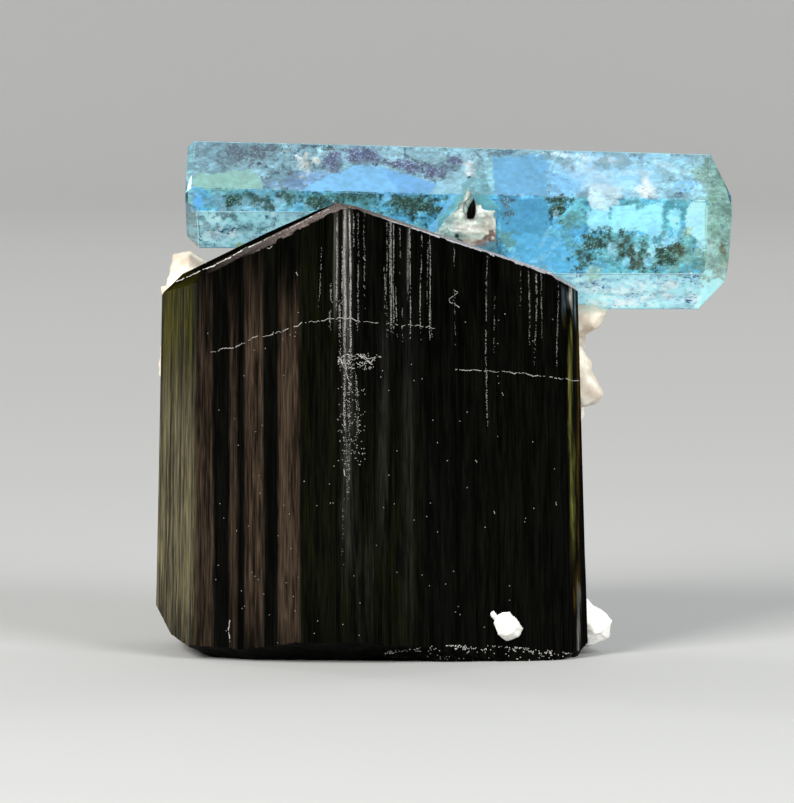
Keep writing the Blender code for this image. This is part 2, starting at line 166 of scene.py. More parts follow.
def broken(points_mm, size, seed, octaves=5):
    """Fractal noise with a mean of 0 and a spread of about 1."""
    return (cloud(points_mm, size, seed, octaves, gain=0.68) - 0.5) / 0.11


def ramp(values, low, high):
    """0 below low, 1 above high, smooth between."""
    t = np.clip((values - low) / (high - low), 0, 1)
    return t * t * (3 - 2 * t)


def linear(code):
    """An sRGB hex value as linear red, green and blue."""
    srgb = np.array([int(code[i : i + 2], 16) for i in (1, 3, 5)]) / 255
    return np.where(srgb <= 0.04045, srgb / 12.92, ((srgb + 0.055) / 1.055) ** 2.4)


def blend(under, over, share):
    """Colours under, changed towards over by each point's share."""
    return under + (over - under) * np.asarray(share)[:, None]


def add_node(owner, kind, settings=None, links=None):
    """Adds a shader node, sets its properties or sockets by name, and links sockets to it."""
    tree = owner.node_tree
    node = tree.nodes.new(kind)
    for key, value in (settings or {}).items():
        if isinstance(key, int) or key in node.inputs:
            node.inputs[key].default_value = value
        else:
            setattr(node, key, value)
    for key, socket in (links or {}).items():
        tree.links.new(socket, node.inputs[key])
    return node


def new_material(name, **sockets):
    """A Principled material with its plain values set, and its shader node."""
    material = bpy.data.materials.new(name)
    material.use_nodes = True
    shader = material.node_tree.nodes["Principled BSDF"]
    for key, value in sockets.items():
        shader.inputs[key.replace("_", " ")].default_value = value
    return material, shader


def link(owner, socket, target):
    """Links an output socket to an input socket in a material's or the world's nodes."""
    owner.node_tree.links.new(socket, target)


# %% [markdown]
# ## Mesh helpers
# Each finished piece is one object at the origin with its place in its mesh, a colour attribute
# where its colour follows the stone, and a record slot and body of its own.


# %% Mesh helpers
def object_from(name, verts_m, faces, material):
    """A mesh object in the scene, from points in metres."""
    mesh = bpy.data.meshes.new(name)
    mesh.from_pydata([tuple(v) for v in verts_m], [], faces)
    mesh.update()
    mesh.materials.append(material)
    return shown(name, mesh)


def fetched(items, field):
    """A vector field of a mesh's vertices or faces, as rows of three."""
    flat = np.empty(len(items) * 3)
    items.foreach_get(field, flat)
    return flat.reshape(-1, 3)


def coordinates(piece):
    return fetched(piece.data.vertices, "co")


def move_to(piece, points_m):
    piece.data.vertices.foreach_set("co", points_m.ravel())
    piece.data.update()


def paint(piece, name, colours):
    """Stores a linear colour for each vertex."""
    layer = piece.data.color_attributes.new(name, "FLOAT_COLOR", "POINT")
    rgba = np.ones((len(colours), 4))
    rgba[:, :3] = np.clip(colours, 0, 1)
    layer.data.foreach_set("color", rgba.ravel())


def applied(piece):
    """The piece with its modifiers turned into plain mesh."""
    bpy.context.view_layer.update()
    graph = bpy.context.evaluated_depsgraph_get()
    mesh = bpy.data.meshes.new_from_object(piece.evaluated_get(graph))
    piece.modifiers.clear()
    old = piece.data
    piece.data = mesh
    bpy.data.meshes.remove(old)
    mesh.name = piece.name
    return piece


def merged_copy(node, name):
    """A copy of a CAD node's mesh with its loose triangles joined into flat faces."""
    mesh = nodes[node].data.copy()
    mesh.materials.clear()
    bm = bmesh.new()
    bm.from_mesh(mesh)
    bmesh.ops.remove_doubles(bm, verts=bm.verts, dist=2e-6)
    bmesh.ops.dissolve_limit(bm, angle_limit=0.01, verts=bm.verts, edges=bm.edges)
    bm.to_mesh(mesh)
    bm.free()
    mesh.name = name
    return shown(name, mesh)


def hull_of(points):
    """A closed convex solid round the points."""
    solid = bmesh.new()
    for p in points:
        solid.verts.new(p)
    bmesh.ops.convex_hull(solid, input=solid.verts)
    bmesh.ops.delete(solid, geom=[v for v in solid.verts if not v.link_faces], context="VERTS")
    return solid


def combined(piece, operation, other):
    """The piece with the bmesh other taken out of it or added to it, in the same unit."""
    mesh = bpy.data.meshes.new("tool")
    other.to_mesh(mesh)
    other.free()
    tool = shown("tool", mesh)
    step = piece.modifiers.new("combine", "BOOLEAN")
    step.operation = operation
    step.object = tool
    applied(piece)
    bpy.data.objects.remove(tool)


def finish_piece(piece, node=None):
    """Ties a finished piece to the root body and hides the CAD node that it replaces."""
    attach(piece, "root")
    if node:
        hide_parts(node)
    print(piece.name, "has", sum(len(p.vertices) - 2 for p in piece.data.polygons), "triangles")


# %% [markdown]
# ## Tourmaline: a finely striated prism
# Black tourmaline grows as bundles of narrow upright faces, so its sides look combed. The CAD solid
# has the coarse ridges, about 1 mm wide. Here the same ring of ridges is drawn again with fine ones
# inside them, down to 0.2 mm, and with many levels, so that a ridge can fade and start again. Real
# grooves are used and not a bump map, because a low light rakes along them.

# %% Tourmaline sizes, as on the solid
SIDE_CORNERS = (
    (-8.8, 0.0), (-16.0, 0.6), (-27.5, 4.8), (-31.9, 16.1), (-30.3, 20.9),
    (-19.5, 30.4), (5.3, 22.4), (14.1, 12.8), (15.6, 6.9), (12.9, 4.6),
)
FRONT_SIDES = (0, 1, 2, 8, 9)
TAPER_PER_MM = 0.0006
TAPER_CENTRE = np.array([-8.2, 12.0])
RIDGE_WIDTH = 0.95
RIDGE_DEPTH = 0.26
RIDGE_TILT = 0.07
RIDGE_SEED = 7
GROWTH_BANDS = ((-2.0, 11.0), (13.0, 26.0), (28.0, 37.0), (39.0, 60.0))
BAND_CHANGE_SHARE = 0.35
FINE_DEPTH = 0.085
LEVEL_STEP = 0.7
CALM_SIDE = 2
CALM_SHARE = 0.3
WALL_LEVELS = (-1.0, 53.0)
SMOOTHED_LEVELS = 11
# (at the shoulder, at the foot) on the left and on the right
SPREAD_MM = ((0.15, 0.55), (0.0, 0.75))
SHOULDER_HEIGHT = 48.0
HALF_WIDTH = 23.5


# %% The ring of ridges
def coarse_ridges():
    """The solid's ridges: (start, end, inward, depth per growth band, tilt, side) in drawing mm."""
    rng = np.random.default_rng(RIDGE_SEED)
    found = []
    for side in range(len(SIDE_CORNERS)):
        a = np.array(SIDE_CORNERS[side])
        b = np.array(SIDE_CORNERS[(side + 1) % len(SIDE_CORNERS)])
        length = np.linalg.norm(b - a)
        along = (b - a) / length
        inward = np.array([along[1], -along[0]])
        count = max(2, round(length / RIDGE_WIDTH))
        cuts = np.linspace(0.0, 1.0, count + 1)
        cuts[1:-1] += rng.uniform(-0.33, 0.33, count - 1) / count
        for start, end in zip(cuts[:-1], cuts[1:]):
            depths = [rng.uniform(0.0, RIDGE_DEPTH)]
            for _ in GROWTH_BANDS[1:]:
                changed = rng.random() < BAND_CHANGE_SHARE
                depths.append(rng.uniform(0.0, RIDGE_DEPTH) if changed else depths[-1])
            tilt = rng.uniform(0.0, RIDGE_TILT)
            margin = 0.06 * (end - start)
            ends = (a + (b - a) * (start + margin), a + (b - a) * (end - margin))
            found.append((*ends, inward, depths, tilt, side))
    return found


def tapered(flat, z):
    """A plan position at height z: the prism narrows slightly upwards."""
    return TAPER_CENTRE + (flat - TAPER_CENTRE) * (1.0 - TAPER_PER_MM * z)


def striated_wall():
    """Rings of drawing points, one ring a level, with fine ridges inside the coarse ones."""
    rng = np.random.default_rng(RIDGE_SEED + 1)
    heights = np.arange(*WALL_LEVELS, LEVEL_STEP)
    band_heights = [z for band in GROWTH_BANDS for z in band]
    columns = []
    for start, end, inward, depths, tilt, side in coarse_ridges():
        band_depths = [d for d in depths for _ in range(2)]
        coarse = np.interp(heights + rng.uniform(-3.0, 3.0), band_heights, band_depths)
        even = np.ones(SMOOTHED_LEVELS) / SMOOTHED_LEVELS
        coarse = np.convolve(np.pad(coarse, SMOOTHED_LEVELS // 2, "edge"), even, "valid")
        fine_count = 6 if side in FRONT_SIDES else 3
        shares = np.linspace(0.0, 1.0, fine_count)
        shares[1:-1] += rng.uniform(-0.07, 0.07, fine_count - 2)
        for share in shares:
            key = rng.uniform(0, 1000)
            probe = np.column_stack((np.full(len(heights), key), heights, np.zeros(len(heights))))
            fade = cloud(probe, (1.0, 9.0, 1.0), 31, octaves=2)
            own = rng.uniform(0.0, FINE_DEPTH) * (0.0 if share in (0.0, 1.0) else 1.0)
            depth = coarse + tilt * share + own * ramp(fade, 0.3, 0.6)
            depth = depth * (CALM_SHARE if side == CALM_SIDE else 1.0)
            flat = (start + (end - start) * share)[None, :] + inward[None, :] * depth[:, None]
            columns.append(np.column_stack((tapered(flat, heights[:, None]), heights)))
    return np.array(columns)


def spread_foot(points):
    """The prism widens a little towards its foot, more on the right."""
    down = 1.0 - np.clip(points[..., 2] / SHOULDER_HEIGHT, 0, 1)
    side = (points[..., 0] - TAPER_CENTRE[0]) / HALF_WIDTH
    left, right = ((top + (foot - top) * down) for top, foot in SPREAD_MM)
    points[..., 0] += np.where(side < 0, side * left, side * right)
    return points


wall = spread_foot(striated_wall())
print("tourmaline wall:", wall.shape[0], "upright lines,", wall.shape[1], "levels")

# %% [markdown]
# ## Tourmaline: top, rim and broken base
# The three top faces are rhombohedron faces, 27 degrees from flat. They and the broken base are
# planes, so each is one cut through the striated wall. The narrow bevel along the rim is what
# catches the light above in the photo.

# %% The tourmaline's planes
TOP_PEAK = (-10.8, 0.0, 51.5)
CREST_HEIGHT = 51.15
RHOMB_DIP = math.radians(27.3)
BACK_FACE_DIP = math.radians(33)
BACK_FACE_POINT = (-25.0, 12.5, 43.9)
RIM_BEVEL = 0.55


def dipping(azimuth, angle):
    """The normal of a face that dips by the angle towards the azimuth in degrees."""
    a = math.radians(azimuth)
    return Vector((math.cos(a) * math.sin(angle), math.sin(a) * math.sin(angle), math.cos(angle)))


def side_planes():
    """A point and a normal of each side's plane, without its ridges."""
    found = []
    for i in range(len(SIDE_CORNERS)):
        a, b = SIDE_CORNERS[i], SIDE_CORNERS[(i + 1) % len(SIDE_CORNERS)]
        low_a = Vector((*tapered(np.array(a), 0.0), 0.0))
        low_b = Vector((*tapered(np.array(b), 0.0), 0.0))
        high_a = Vector((*tapered(np.array(a), 50.0), 50.0))
        found.append((low_a, (high_a - low_a).cross(low_b - low_a).normalized()))
    return found


def top_planes():
    """The three sloping top faces, and the small flat on the crest."""
    return [
        (Vector(TOP_PEAK), dipping(183, RHOMB_DIP)),
        (Vector(TOP_PEAK), dipping(60, RHOMB_DIP)),
        (Vector(BACK_FACE_POINT), dipping(120, BACK_FACE_DIP)),
        (Vector((0.0, 0.0, CREST_HEIGHT)), Vector((0, 0, 1))),
    ]


def rim_planes():
    """Bevels along the edges where a side meets a top face."""
    sides, tops = side_planes(), top_planes()
    found = []
    for side, top in ((9, 1), (0, 3), (0, 0), (1, 0), (2, 0), (8, 1)):
        (p1, n1), (p2, n2) = sides[side], tops[top]
        edge = Matrix((n1, n2, n1.cross(n2))).inverted() @ Vector((n1.dot(p1), n2.dot(p2), 0.0))
        normal = (n1 + n2).normalized()
        found.append((edge - normal * RIM_BEVEL, normal))
    return found


BASE_PLANES = (
    ((0.0, 0.0, 0.0), (0, 0, -1)),
    ((-32.2, 16.0, 4.75), (-0.88, -0.06, -0.47)),
    ((-30.1, 10.0, 2.0), (-0.46, -0.08, -0.88)),
    ((-27.2, 5.0, 1.55), (-0.2, -0.42, -0.88)),
    ((-9.0, 0.0, 1.25), (-0.02, -0.42, -0.9)),
    ((3.0, 3.0, 0.45), (-0.03, -0.52, -0.85)),
    ((13.5, 5.0, 0.1), (0.52, -0.34, -0.8)),
    ((15.4, 9.0, 0.5), (0.72, 0.1, -0.68)),
    ((8.0, 20.0, 1.0), (0.45, 0.5, -0.74)),
    ((-7.0, 26.4, 1.6), (0.10, 0.62, -0.78)),
    ((-26.0, 25.0, 1.8), (-0.55, 0.45, -0.7)),
)
BREAK_CELL = 0.35


# %% The broken base
def broken_block():
    """A block whose upper side is the broken base: the solid's planes, roughened into shells."""
    xs, ys = np.arange(-37.0, 21.0, BREAK_CELL), np.arange(-4.0, 35.0, BREAK_CELL)
    x, y = (g.ravel() for g in np.meshgrid(xs, ys, indexing="ij"))
    flat = np.column_stack((x, y, np.zeros(len(x))))
    height = np.zeros(len(x))
    for (px, py, pz), (nx, ny, nz) in BASE_PLANES[1:]:
        height = np.maximum(height, pz - ((x - px) * nx + (y - py) * ny) / nz)
    shells = np.abs(np.sin(cloud(flat, (9.0, 7.0, 9.0), 41, 3) * 22))
    rough = broken(flat, (2.6, 1.8, 1.0), 43, 5)
    amount = 0.1 + 0.5 * ramp(x, -12.0, -3.0)
    height = np.maximum(height + amount * (0.3 * rough + 0.5 * shells - 0.3), 0.0)
    bm = bmesh.new()
    top = [bm.verts.new((*p[:2], z)) for p, z in zip(flat, height)]
    foot = [bm.verts.new((*p[:2], -3.0)) for p in flat]
    wide, deep = len(xs), len(ys)
    for i in range(wide - 1):
        for j in range(deep - 1):
            a, b, c, d = i * deep + j, (i + 1) * deep + j, (i + 1) * deep + j + 1, i * deep + j + 1
            bm.faces.new((top[a], top[b], top[c], top[d]))
            bm.faces.new((foot[d], foot[c], foot[b], foot[a]))
    bm.verts.index_update()
    rim = [e for e in bm.edges if len(e.link_faces) == 1 and max(v.index for v in e.verts) < len(top)]
    for e in rim:
        v, w = e.verts[0].index, e.verts[1].index
        bm.faces.new((top[v], top[w], foot[w], foot[v]))
    bmesh.ops.recalc_face_normals(bm, faces=bm.faces)
    return bm


# %% Cutting the wall
def wall_mesh(columns):
    """A closed striated prism from the columns of points."""
    bm = bmesh.new()
    rows = [[bm.verts.new(p) for p in column] for column in columns]
    for i, column in enumerate(rows):
        beside = rows[(i + 1) % len(rows)]
        for k in range(len(column) - 1):
            bm.faces.new((column[k], beside[k], beside[k + 1], column[k + 1]))
    bm.faces.new([column[0] for column in rows])
    bm.faces.new([column[-1] for column in rows])
    bmesh.ops.recalc_face_normals(bm, faces=bm.faces)
    return bm


def slice_off(bm, point, normal):
    """Removes what lies beyond the plane and closes the cut."""
    found = bmesh.ops.bisect_plane(
        bm,
        geom=bm.verts[:] + bm.edges[:] + bm.faces[:],
        dist=1e-6,
        plane_co=point,
        plane_no=normal,
        clear_outer=True,
    )
    rim = [e for e in found["geom_cut"] if isinstance(e, bmesh.types.BMEdge) and len(e.link_faces) == 1]
    if rim:
        bmesh.ops.edgeloop_fill(bm, edges=rim)


bm = wall_mesh(wall)
for point, normal in top_planes() + rim_planes():
    slice_off(bm, point, normal.normalized())
bmesh.ops.remove_doubles(bm, verts=bm.verts, dist=1e-4)
bmesh.ops.recalc_face_normals(bm, faces=bm.faces)
print("tourmaline faces after the cuts:", len(bm.faces))

tourmaline_mesh = bpy.data.meshes.new("tourmaline_striated")
bm.to_mesh(tourmaline_mesh)
bm.free()
tourmaline = shown("tourmaline_striated", tourmaline_mesh)
combined(tourmaline, "DIFFERENCE", broken_block())
print("tourmaline faces with its broken base:", len(tourmaline.data.polygons))

# %% [markdown]
# ## Tourmaline: the bed of the aquamarine
# The aquamarine grew down into the tourmaline's top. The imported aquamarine, grown by the 0.3 mm
# contact gap, is taken out of the striated prism, so the clear crystal has its own room.


# %% Cutting the bed
def grown_hull(points_mm, gap):
    """A closed convex solid round the points, moved out by the gap along X, Y and Z."""
    shell = bmesh.new()
    for p in points_mm:
        shell.verts.new(p)
    hull = bmesh.ops.convex_hull(shell, input=shell.verts)
    inner = [v for v in hull["geom_interior"] if isinstance(v, bmesh.types.BMVert)]
    bmesh.ops.delete(shell, geom=inner, context="VERTS")
    middle = Vector(np.mean([v.co for v in shell.verts], axis=0))
    span = [max(abs(v.co[i] - middle[i]) for v in shell.verts) for i in range(3)]
    for v in shell.verts:
        for i in range(3):
            v.co[i] = middle[i] + (v.co[i] - middle[i]) * (1 + gap / span[i])
    bmesh.ops.recalc_face_normals(shell, faces=shell.faces)
    return shell


def outside_notch(points_mm):
    """The points without those inside the notch under the prism."""
    x, y = points_mm[:, 0], points_mm[:, 1]
    return points_mm[~((np.abs(x - NOTCH_MIDDLE_X) < NOTCH_REACH_X) & (y > NOTCH_Y[0]) & (y < NOTCH_Y[1]))]


SLIM_PART_END_X = -11.0
PARTS_OVERLAP_X = 1.5
CONTACT_GAP = 0.3
NOTCH_MIDDLE_X, NOTCH_REACH_X, NOTCH_Y = 2.5, 5.0, (6.1, 10.5)
outer = outside_notch(to_drawing(coordinates(nodes["aquamarine_crystal"])))
for part in (outer[outer[:, 0] < SLIM_PART_END_X], outer[outer[:, 0] > SLIM_PART_END_X - PARTS_OVERLAP_X]):
    combined(tourmaline, "DIFFERENCE", grown_hull(part, CONTACT_GAP))
move_to(tourmaline, to_frame(coordinates(tourmaline)))
print("tourmaline faces with its bed:", len(tourmaline.data.polygons))

# %% [markdown]
# ## Tourmaline: colour zones
# Schorl is black. The brown, olive, khaki, amber and moss bands are painted light: the sheen off the
# striations and the light let through the thin edges, laid into the colour. The blue-grey patches on
# the right edge are a painted reflection, and the pale grey streaks are painted highlights on etched
# striations. The colour is stored on the vertices: bands that run up the prism, with soft or sharp
# sides and ends.

# %% Colour zones of the tourmaline
JET = linear("#040403")
BROWN = linear("#352b22")
UMBER = linear("#1f1914")
OLIVE = linear("#3b390f")
KHAKI = linear("#615a42")
DARK_GREEN = linear("#0b0d04")
FROST_AND_HIGHLIGHT = linear("#b4b1ab")
BLUE_GREY_REFLECTION = linear("#526066")
AMBER = linear("#4e3c10")
MOSS_SKIN = linear("#5c5b2b")
# Painted sheen: the rim's grey-brown and grey stand for light from above on the bevels.
RIM_SHEEN_BROWN = linear("#4a4340")
RIM_SHEEN_GREY = linear("#8c8d90")

# In photo pixels: (left, right, side softness, top, bottom, end softness, colour, strength)
UPRIGHT_BANDS = (
    # Painted light: the olive, khaki and brown bands stand for sheen and for light let through the thin left
    # edge.
    (150, 194, 3, 270, 380, 70, OLIVE, 0.95),
    (150, 194, 3, 390, 640, 60, KHAKI, 0.9),
    (195, 213, 1.5, 330, 650, 70, BROWN, 0.85),
    (229, 237, 1.5, 330, 640, 80, BROWN, 0.75),
    (245, 263, 1.5, 300, 650, 60, BROWN, 0.95),
    (278, 300, 1.0, 320, 650, 60, BROWN, 1.25),
    (300, 336, 3, 230, 640, 60, DARK_GREEN, 0.8),
    (336, 420, 10, 430, 640, 90, DARK_GREEN, 1.0),
    (455, 560, 30, 330, 600, 90, DARK_GREEN, 0.12),
    # Painted light: the moss and amber bands stand for light let through the thin right edge.
    (568.5, 571.8, 0.8, 325, 440, 20, MOSS_SKIN, 1.1),
    (577, 579, 0.6, 340, 560, 30, AMBER, 0.4),
    (570.5, 575.0, 1.0, 450, 560, 30, MOSS_SKIN, 0.9),
    # Painted reflection: the blue-grey and pale patch on the right edge.
    (562, 567.5, 0.8, 286, 312, 8, BLUE_GREY_REFLECTION, 0.9),
    (567.5, 571.5, 0.6, 284, 314, 5, FROST_AND_HIGHLIGHT, 0.9),
    (574, 576.5, 0.6, 288, 318, 8, BLUE_GREY_REFLECTION, 0.8),
    # Painted light: amber light let through the thin right edge.
    (563, 567, 1.0, 312, 326, 6, AMBER, 0.5),
    (573.5, 579, 1.2, 566, 594, 8, AMBER, 0.8),
    # Painted highlights: pale grey streaks where the striations catch the light.
    (577.5, 580, 0.6, 590, 640, 10, FROST_AND_HIGHLIGHT, 0.35),
    (334, 339, 1.2, 225, 300, 30, FROST_AND_HIGHLIGHT, 0.1),
    (343.5, 347.5, 0.8, 205, 350, 40, FROST_AND_HIGHLIGHT, 0.17),
    (348, 352, 1.0, 205, 340, 50, FROST_AND_HIGHLIGHT, 0.08),
    (344, 351, 2.0, 350, 470, 50, FROST_AND_HIGHLIGHT, 0.03),
    (340, 357, 3.0, 400, 560, 60, FROST_AND_HIGHLIGHT, 0.02),
    (378, 389, 2.5, 330, 520, 60, FROST_AND_HIGHLIGHT, 0.015),
    (403, 413, 2.5, 330, 600, 60, FROST_AND_HIGHLIGHT, 0.012),
    (357, 374, 3.0, 540, 640, 50, FROST_AND_HIGHLIGHT, 0.012),
    (390, 392.5, 0.8, 216, 320, 30, FROST_AND_HIGHLIGHT, 0.07),
    (407, 409, 0.8, 228, 290, 20, FROST_AND_HIGHLIGHT, 0.07),
)


# How deep the sides show in the photo, left and right; the back is plain
SEEN_TO_Y = (16.3, 13.0)


def upright_bands(points_mm):
    """The linear colour of each drawing point of the tourmaline's sides."""
    pixels = pixel_of(points_mm)
    x, y = pixels[:, 0], pixels[:, 1]
    grain = cloud(points_mm, (0.22, 0.22, 4.0), 5, octaves=4, gain=0.7)
    streak = cloud(points_mm, (0.5, 0.5, 16.0), 8, octaves=3, gain=0.7)
    drift = cloud(points_mm, (1.2, 1.2, 14.0), 11, octaves=3)
    liveliness = ramp(grain * 0.5 + streak * 0.5, 0.32, 0.68)
    colour = np.tile(JET, (len(points_mm), 1)) * (0.3 + 1.6 * liveliness)[:, None]
    wander = (drift - 0.5) * 5
    for left, right, side, top, bottom, end, tint, strength in UPRIGHT_BANDS:
        share = ramp(x + wander * 0.5, left - side, left + side)
        share = share * ramp(-x - wander * 0.5, -right - side, -right + side)
        share = share * ramp(y + wander * 12, top - end, top + end)
        share = share * ramp(-y + wander * 12, -bottom - end, -bottom + end)
        share = share * strength * (0.1 + 1.1 * liveliness)
        colour = blend(colour, tint, np.clip(share, 0, 1))
    back = points_mm[:, 1] > np.where(points_mm[:, 0] < 0, *SEEN_TO_Y)
    plain = blend(np.tile(JET, (len(points_mm), 1)), UMBER, ramp(drift, 0.45, 0.7))
    colour[back] = plain[back]
    return colour


def rim_colours(points_mm):
    """Painted sheen of the light from above, with scuffs: grey-brown by the crest, dark to the left, grey
    along the right slope.
    """
    x = pixel_of(points_mm)[:, 0]
    scuff = broken(points_mm, (0.5, 0.5, 0.5), 77, 4)
    colour = upright_bands(points_mm)
    colour = blend(colour, RIM_SHEEN_BROWN, ramp(x, 240, 256))
    colour = blend(colour, RIM_SHEEN_GREY, 0.9 * ramp(x, 372, 384))
    return colour * np.exp(0.35 * np.clip(scuff, -2, 1.2))[:, None]


def on_planes(points_mm, planes, reach):
    """True for the points that lie within reach of any of the planes."""
    close = np.zeros(len(points_mm), bool)
    for point, normal in planes:
        close |= np.abs((points_mm - np.array(point)) @ np.array(normal)) < reach
    return close


WALL, RIM, TOP, BASE, LEFT = range(5)
TOP_FROM_Z, BASE_TO_Z = 30, 8.0
centres = to_drawing(fetched(tourmaline.data.polygons, "center"))
facing = fetched(tourmaline.data.polygons, "normal")
kinds = np.full(len(centres), WALL)
kinds[on_planes(centres, top_planes()[:3], 0.01) & (centres[:, 2] > TOP_FROM_Z)] = TOP
kinds[on_planes(centres, rim_planes() + top_planes()[3:], 0.02) & (centres[:, 2] > TOP_FROM_Z)] = RIM
kinds[(kinds == WALL) & (facing[:, 0] < -0.5) & (facing[:, 1] < 0)] = LEFT
kinds[(centres[:, 2] < BASE_TO_Z) & (facing[:, 2] < -0.2)] = BASE

stone_mm = to_drawing(coordinates(tourmaline))
side_colour, rim_colour = upright_bands(stone_mm), rim_colours(stone_mm)
corner_points = np.empty(len(tourmaline.data.loops), int)
tourmaline.data.loops.foreach_get("vertex_index", corner_points)
corner_kinds = np.repeat(kinds, [len(p.vertices) for p in tourmaline.data.polygons])
rgba = np.ones((len(corner_points), 4))
rgba[:, :3] = np.where(corner_kinds[:, None] == RIM, rim_colour[corner_points], side_colour[corner_points])
rgba[np.isin(corner_kinds, (TOP, BASE)), :3] = JET
layer = tourmaline.data.color_attributes.new("stone", "FLOAT_COLOR", "CORNER")
layer.data.foreach_set("color", np.clip(rgba, 0, 1).ravel())
print("rim faces:", int((kinds == RIM).sum()), "top faces:", int((kinds == TOP).sum()))

# %% [markdown]
# ## Tourmaline: finish
# Schorl is glassy, with an index near 1.64. Hairline growth lines, 0.05 mm apart on the real stone
# and drawn twice as coarse so that they show, break its reflections into upright streaks. The rim's
# bevels and the crest are matt, with a painted pale grey sheen and scuffs, and the sloping top faces
# are etched to satin.


# %% Schorl material
def schorl_material(name, roughness, shine):
    """The stone colour, streaked and grooved by upright hairlines, with fine pits."""
    material, shader = new_material(name, Roughness=roughness, IOR=1.64)
    shader.inputs["Specular IOR Level"].default_value = shine
    place = add_node(material, "ShaderNodeTexCoord").outputs["Object"]
    drawn_out = add_node(material, "ShaderNodeMapping", {"Scale": (9000, 9000, 260)}, {"Vector": place})
    upright = {"Vector": drawn_out.outputs[0]}
    lines = add_node(material, "ShaderNodeTexNoise", {"Scale": 1.0, "Detail": 3.0}, upright)
    pits = add_node(material, "ShaderNodeTexNoise", {"Scale": 5200.0, "Detail": 4.0}, {"Vector": place})
    stone = add_node(material, "ShaderNodeAttribute", {"attribute_name": "stone"})
    spread = {"From Min": 0.36, "From Max": 0.64, "To Min": 0.45, "To Max": 1.55}
    streak = add_node(material, "ShaderNodeMapRange", spread, {"Value": lines.outputs["Fac"]})
    toned = add_node(material, "ShaderNodeMix", {"data_type": "RGBA", "blend_type": "MULTIPLY", 0: 1.0})
    link(material, stone.outputs["Color"], toned.inputs[6])
    link(material, streak.outputs["Result"], toned.inputs[7])
    link(material, toned.outputs[2], shader.inputs["Base Color"])
    grooves = {"Strength": 0.35, "Distance": 0.00004}
    bump = add_node(material, "ShaderNodeBump", grooves, {"Height": lines.outputs["Fac"]})
    both = {"Height": pits.outputs["Fac"], "Normal": bump.outputs["Normal"]}
    fine = add_node(material, "ShaderNodeBump", {"Strength": 0.06, "Distance": 0.00003}, both)
    link(material, fine.outputs["Normal"], shader.inputs["Normal"])
    return material


# (name, roughness, specular level) of each kind of face, in the order of WALL to LEFT
SCHORL_FINISHES = (
    ("schorl_black_striated", 0.16, 0.014),
    ("schorl_rim_scuffed_painted_sheen", 0.6, 0.0),
    ("schorl_satin_top", 0.6, 0.0),
    ("schorl_broken_base", 0.35, 0.008),
    ("schorl_left_side", 0.3, 0.01),
)
tourmaline.data.materials.clear()
for finish in SCHORL_FINISHES:
    tourmaline.data.materials.append(schorl_material(*finish))
tourmaline.data.polygons.foreach_set("material_index", kinds)
finish_piece(tourmaline, "black_tourmaline")

# %% [markdown]
# ## Tourmaline: frosted lines, cracks, marks and painted highlights
# Some striations are etched white in tiny dots, with painted highlights where they catch the light,
# two hairline cracks cross the front, painted white highlights run along the rim, and painted glints
# on the broken base stand for its glitter. Each is a skin of small flecks that lies on the real
# surface: a grid is thrown at the stone along the view, the points that hit it are lifted by a
# hundredth of a millimetre, and noise keeps some of the cells.

# %% Flecks on the stone
def tree_of(mesh, points_mm):
    """A search tree of a mesh with its points in drawing millimetres."""
    copy = bmesh.new()
    copy.from_mesh(mesh)
    for v, p in zip(copy.verts, points_mm):
        v.co = p
    copy.normal_update()
    tree = BVHTree.FromBMesh(copy)
    copy.free()
    return tree


STONE_TREE = tree_of(tourmaline.data, stone_mm)
FLECK_LIFT = 0.012


def thrown(pixels):
    """Points on the tourmaline seen at the pixels, lifted a little, and which of them hit."""
    hits = np.zeros((len(pixels), 3))
    found = np.zeros(len(pixels), bool)
    right = (pixels[:, 0] - IMAGE_SIZE[0] / 2) * PIXEL_MM / CAMERA_DISTANCE_MM
    up = (IMAGE_SIZE[1] / 2 - pixels[:, 1]) * PIXEL_MM / CAMERA_DISTANCE_MM
    rays = LOOK + np.outer(up, UP) + np.outer(right, (1.0, 0.0, 0.0))
    for i, ray in enumerate(rays):
        hit, normal, _, _ = STONE_TREE.ray_cast(Vector(EYE_MM), Vector(ray))
        if hit is not None:
            hits[i] = hit + normal * FLECK_LIFT
            found[i] = True
    return hits, found


def quads_of(wide, high):
    """The cells of a grid of wide x high points, as four point numbers each."""
    grid = np.arange(wide * high).reshape(wide, high)
    return np.stack((grid[:-1, :-1], grid[1:, :-1], grid[1:, 1:], grid[:-1, 1:]), axis=-1).reshape(-1, 4)


def only_used(points, quads):
    """The points that the quads use, the quads with new numbers, and which points those are."""
    used = np.unique(quads)
    renumber = np.zeros(len(points), int)
    renumber[used] = np.arange(len(used))
    return points[used], renumber[quads], used


def fleck_grid(columns, rows, keep):
    """Thrown points and quads of a grid of pixels; keep says which cells stay."""
    points, found = thrown(np.stack((columns, rows), axis=-1).reshape(-1, 2))
    quads = quads_of(*columns.shape)[:, (0, 3, 2, 1)]
    return only_used(points, quads[keep.ravel() & found[quads].all(axis=1)])[:2]


def joined(name, parts, material):
    """One object of several (points, faces) parts in drawing millimetres."""
    starts = np.cumsum([0] + [len(part[0]) for part in parts[:-1]])
    faces = np.concatenate([part[1] + start for part, start in zip(parts, starts)]).tolist()
    return object_from(name, to_frame(np.concatenate([part[0] for part in parts])), faces, material)
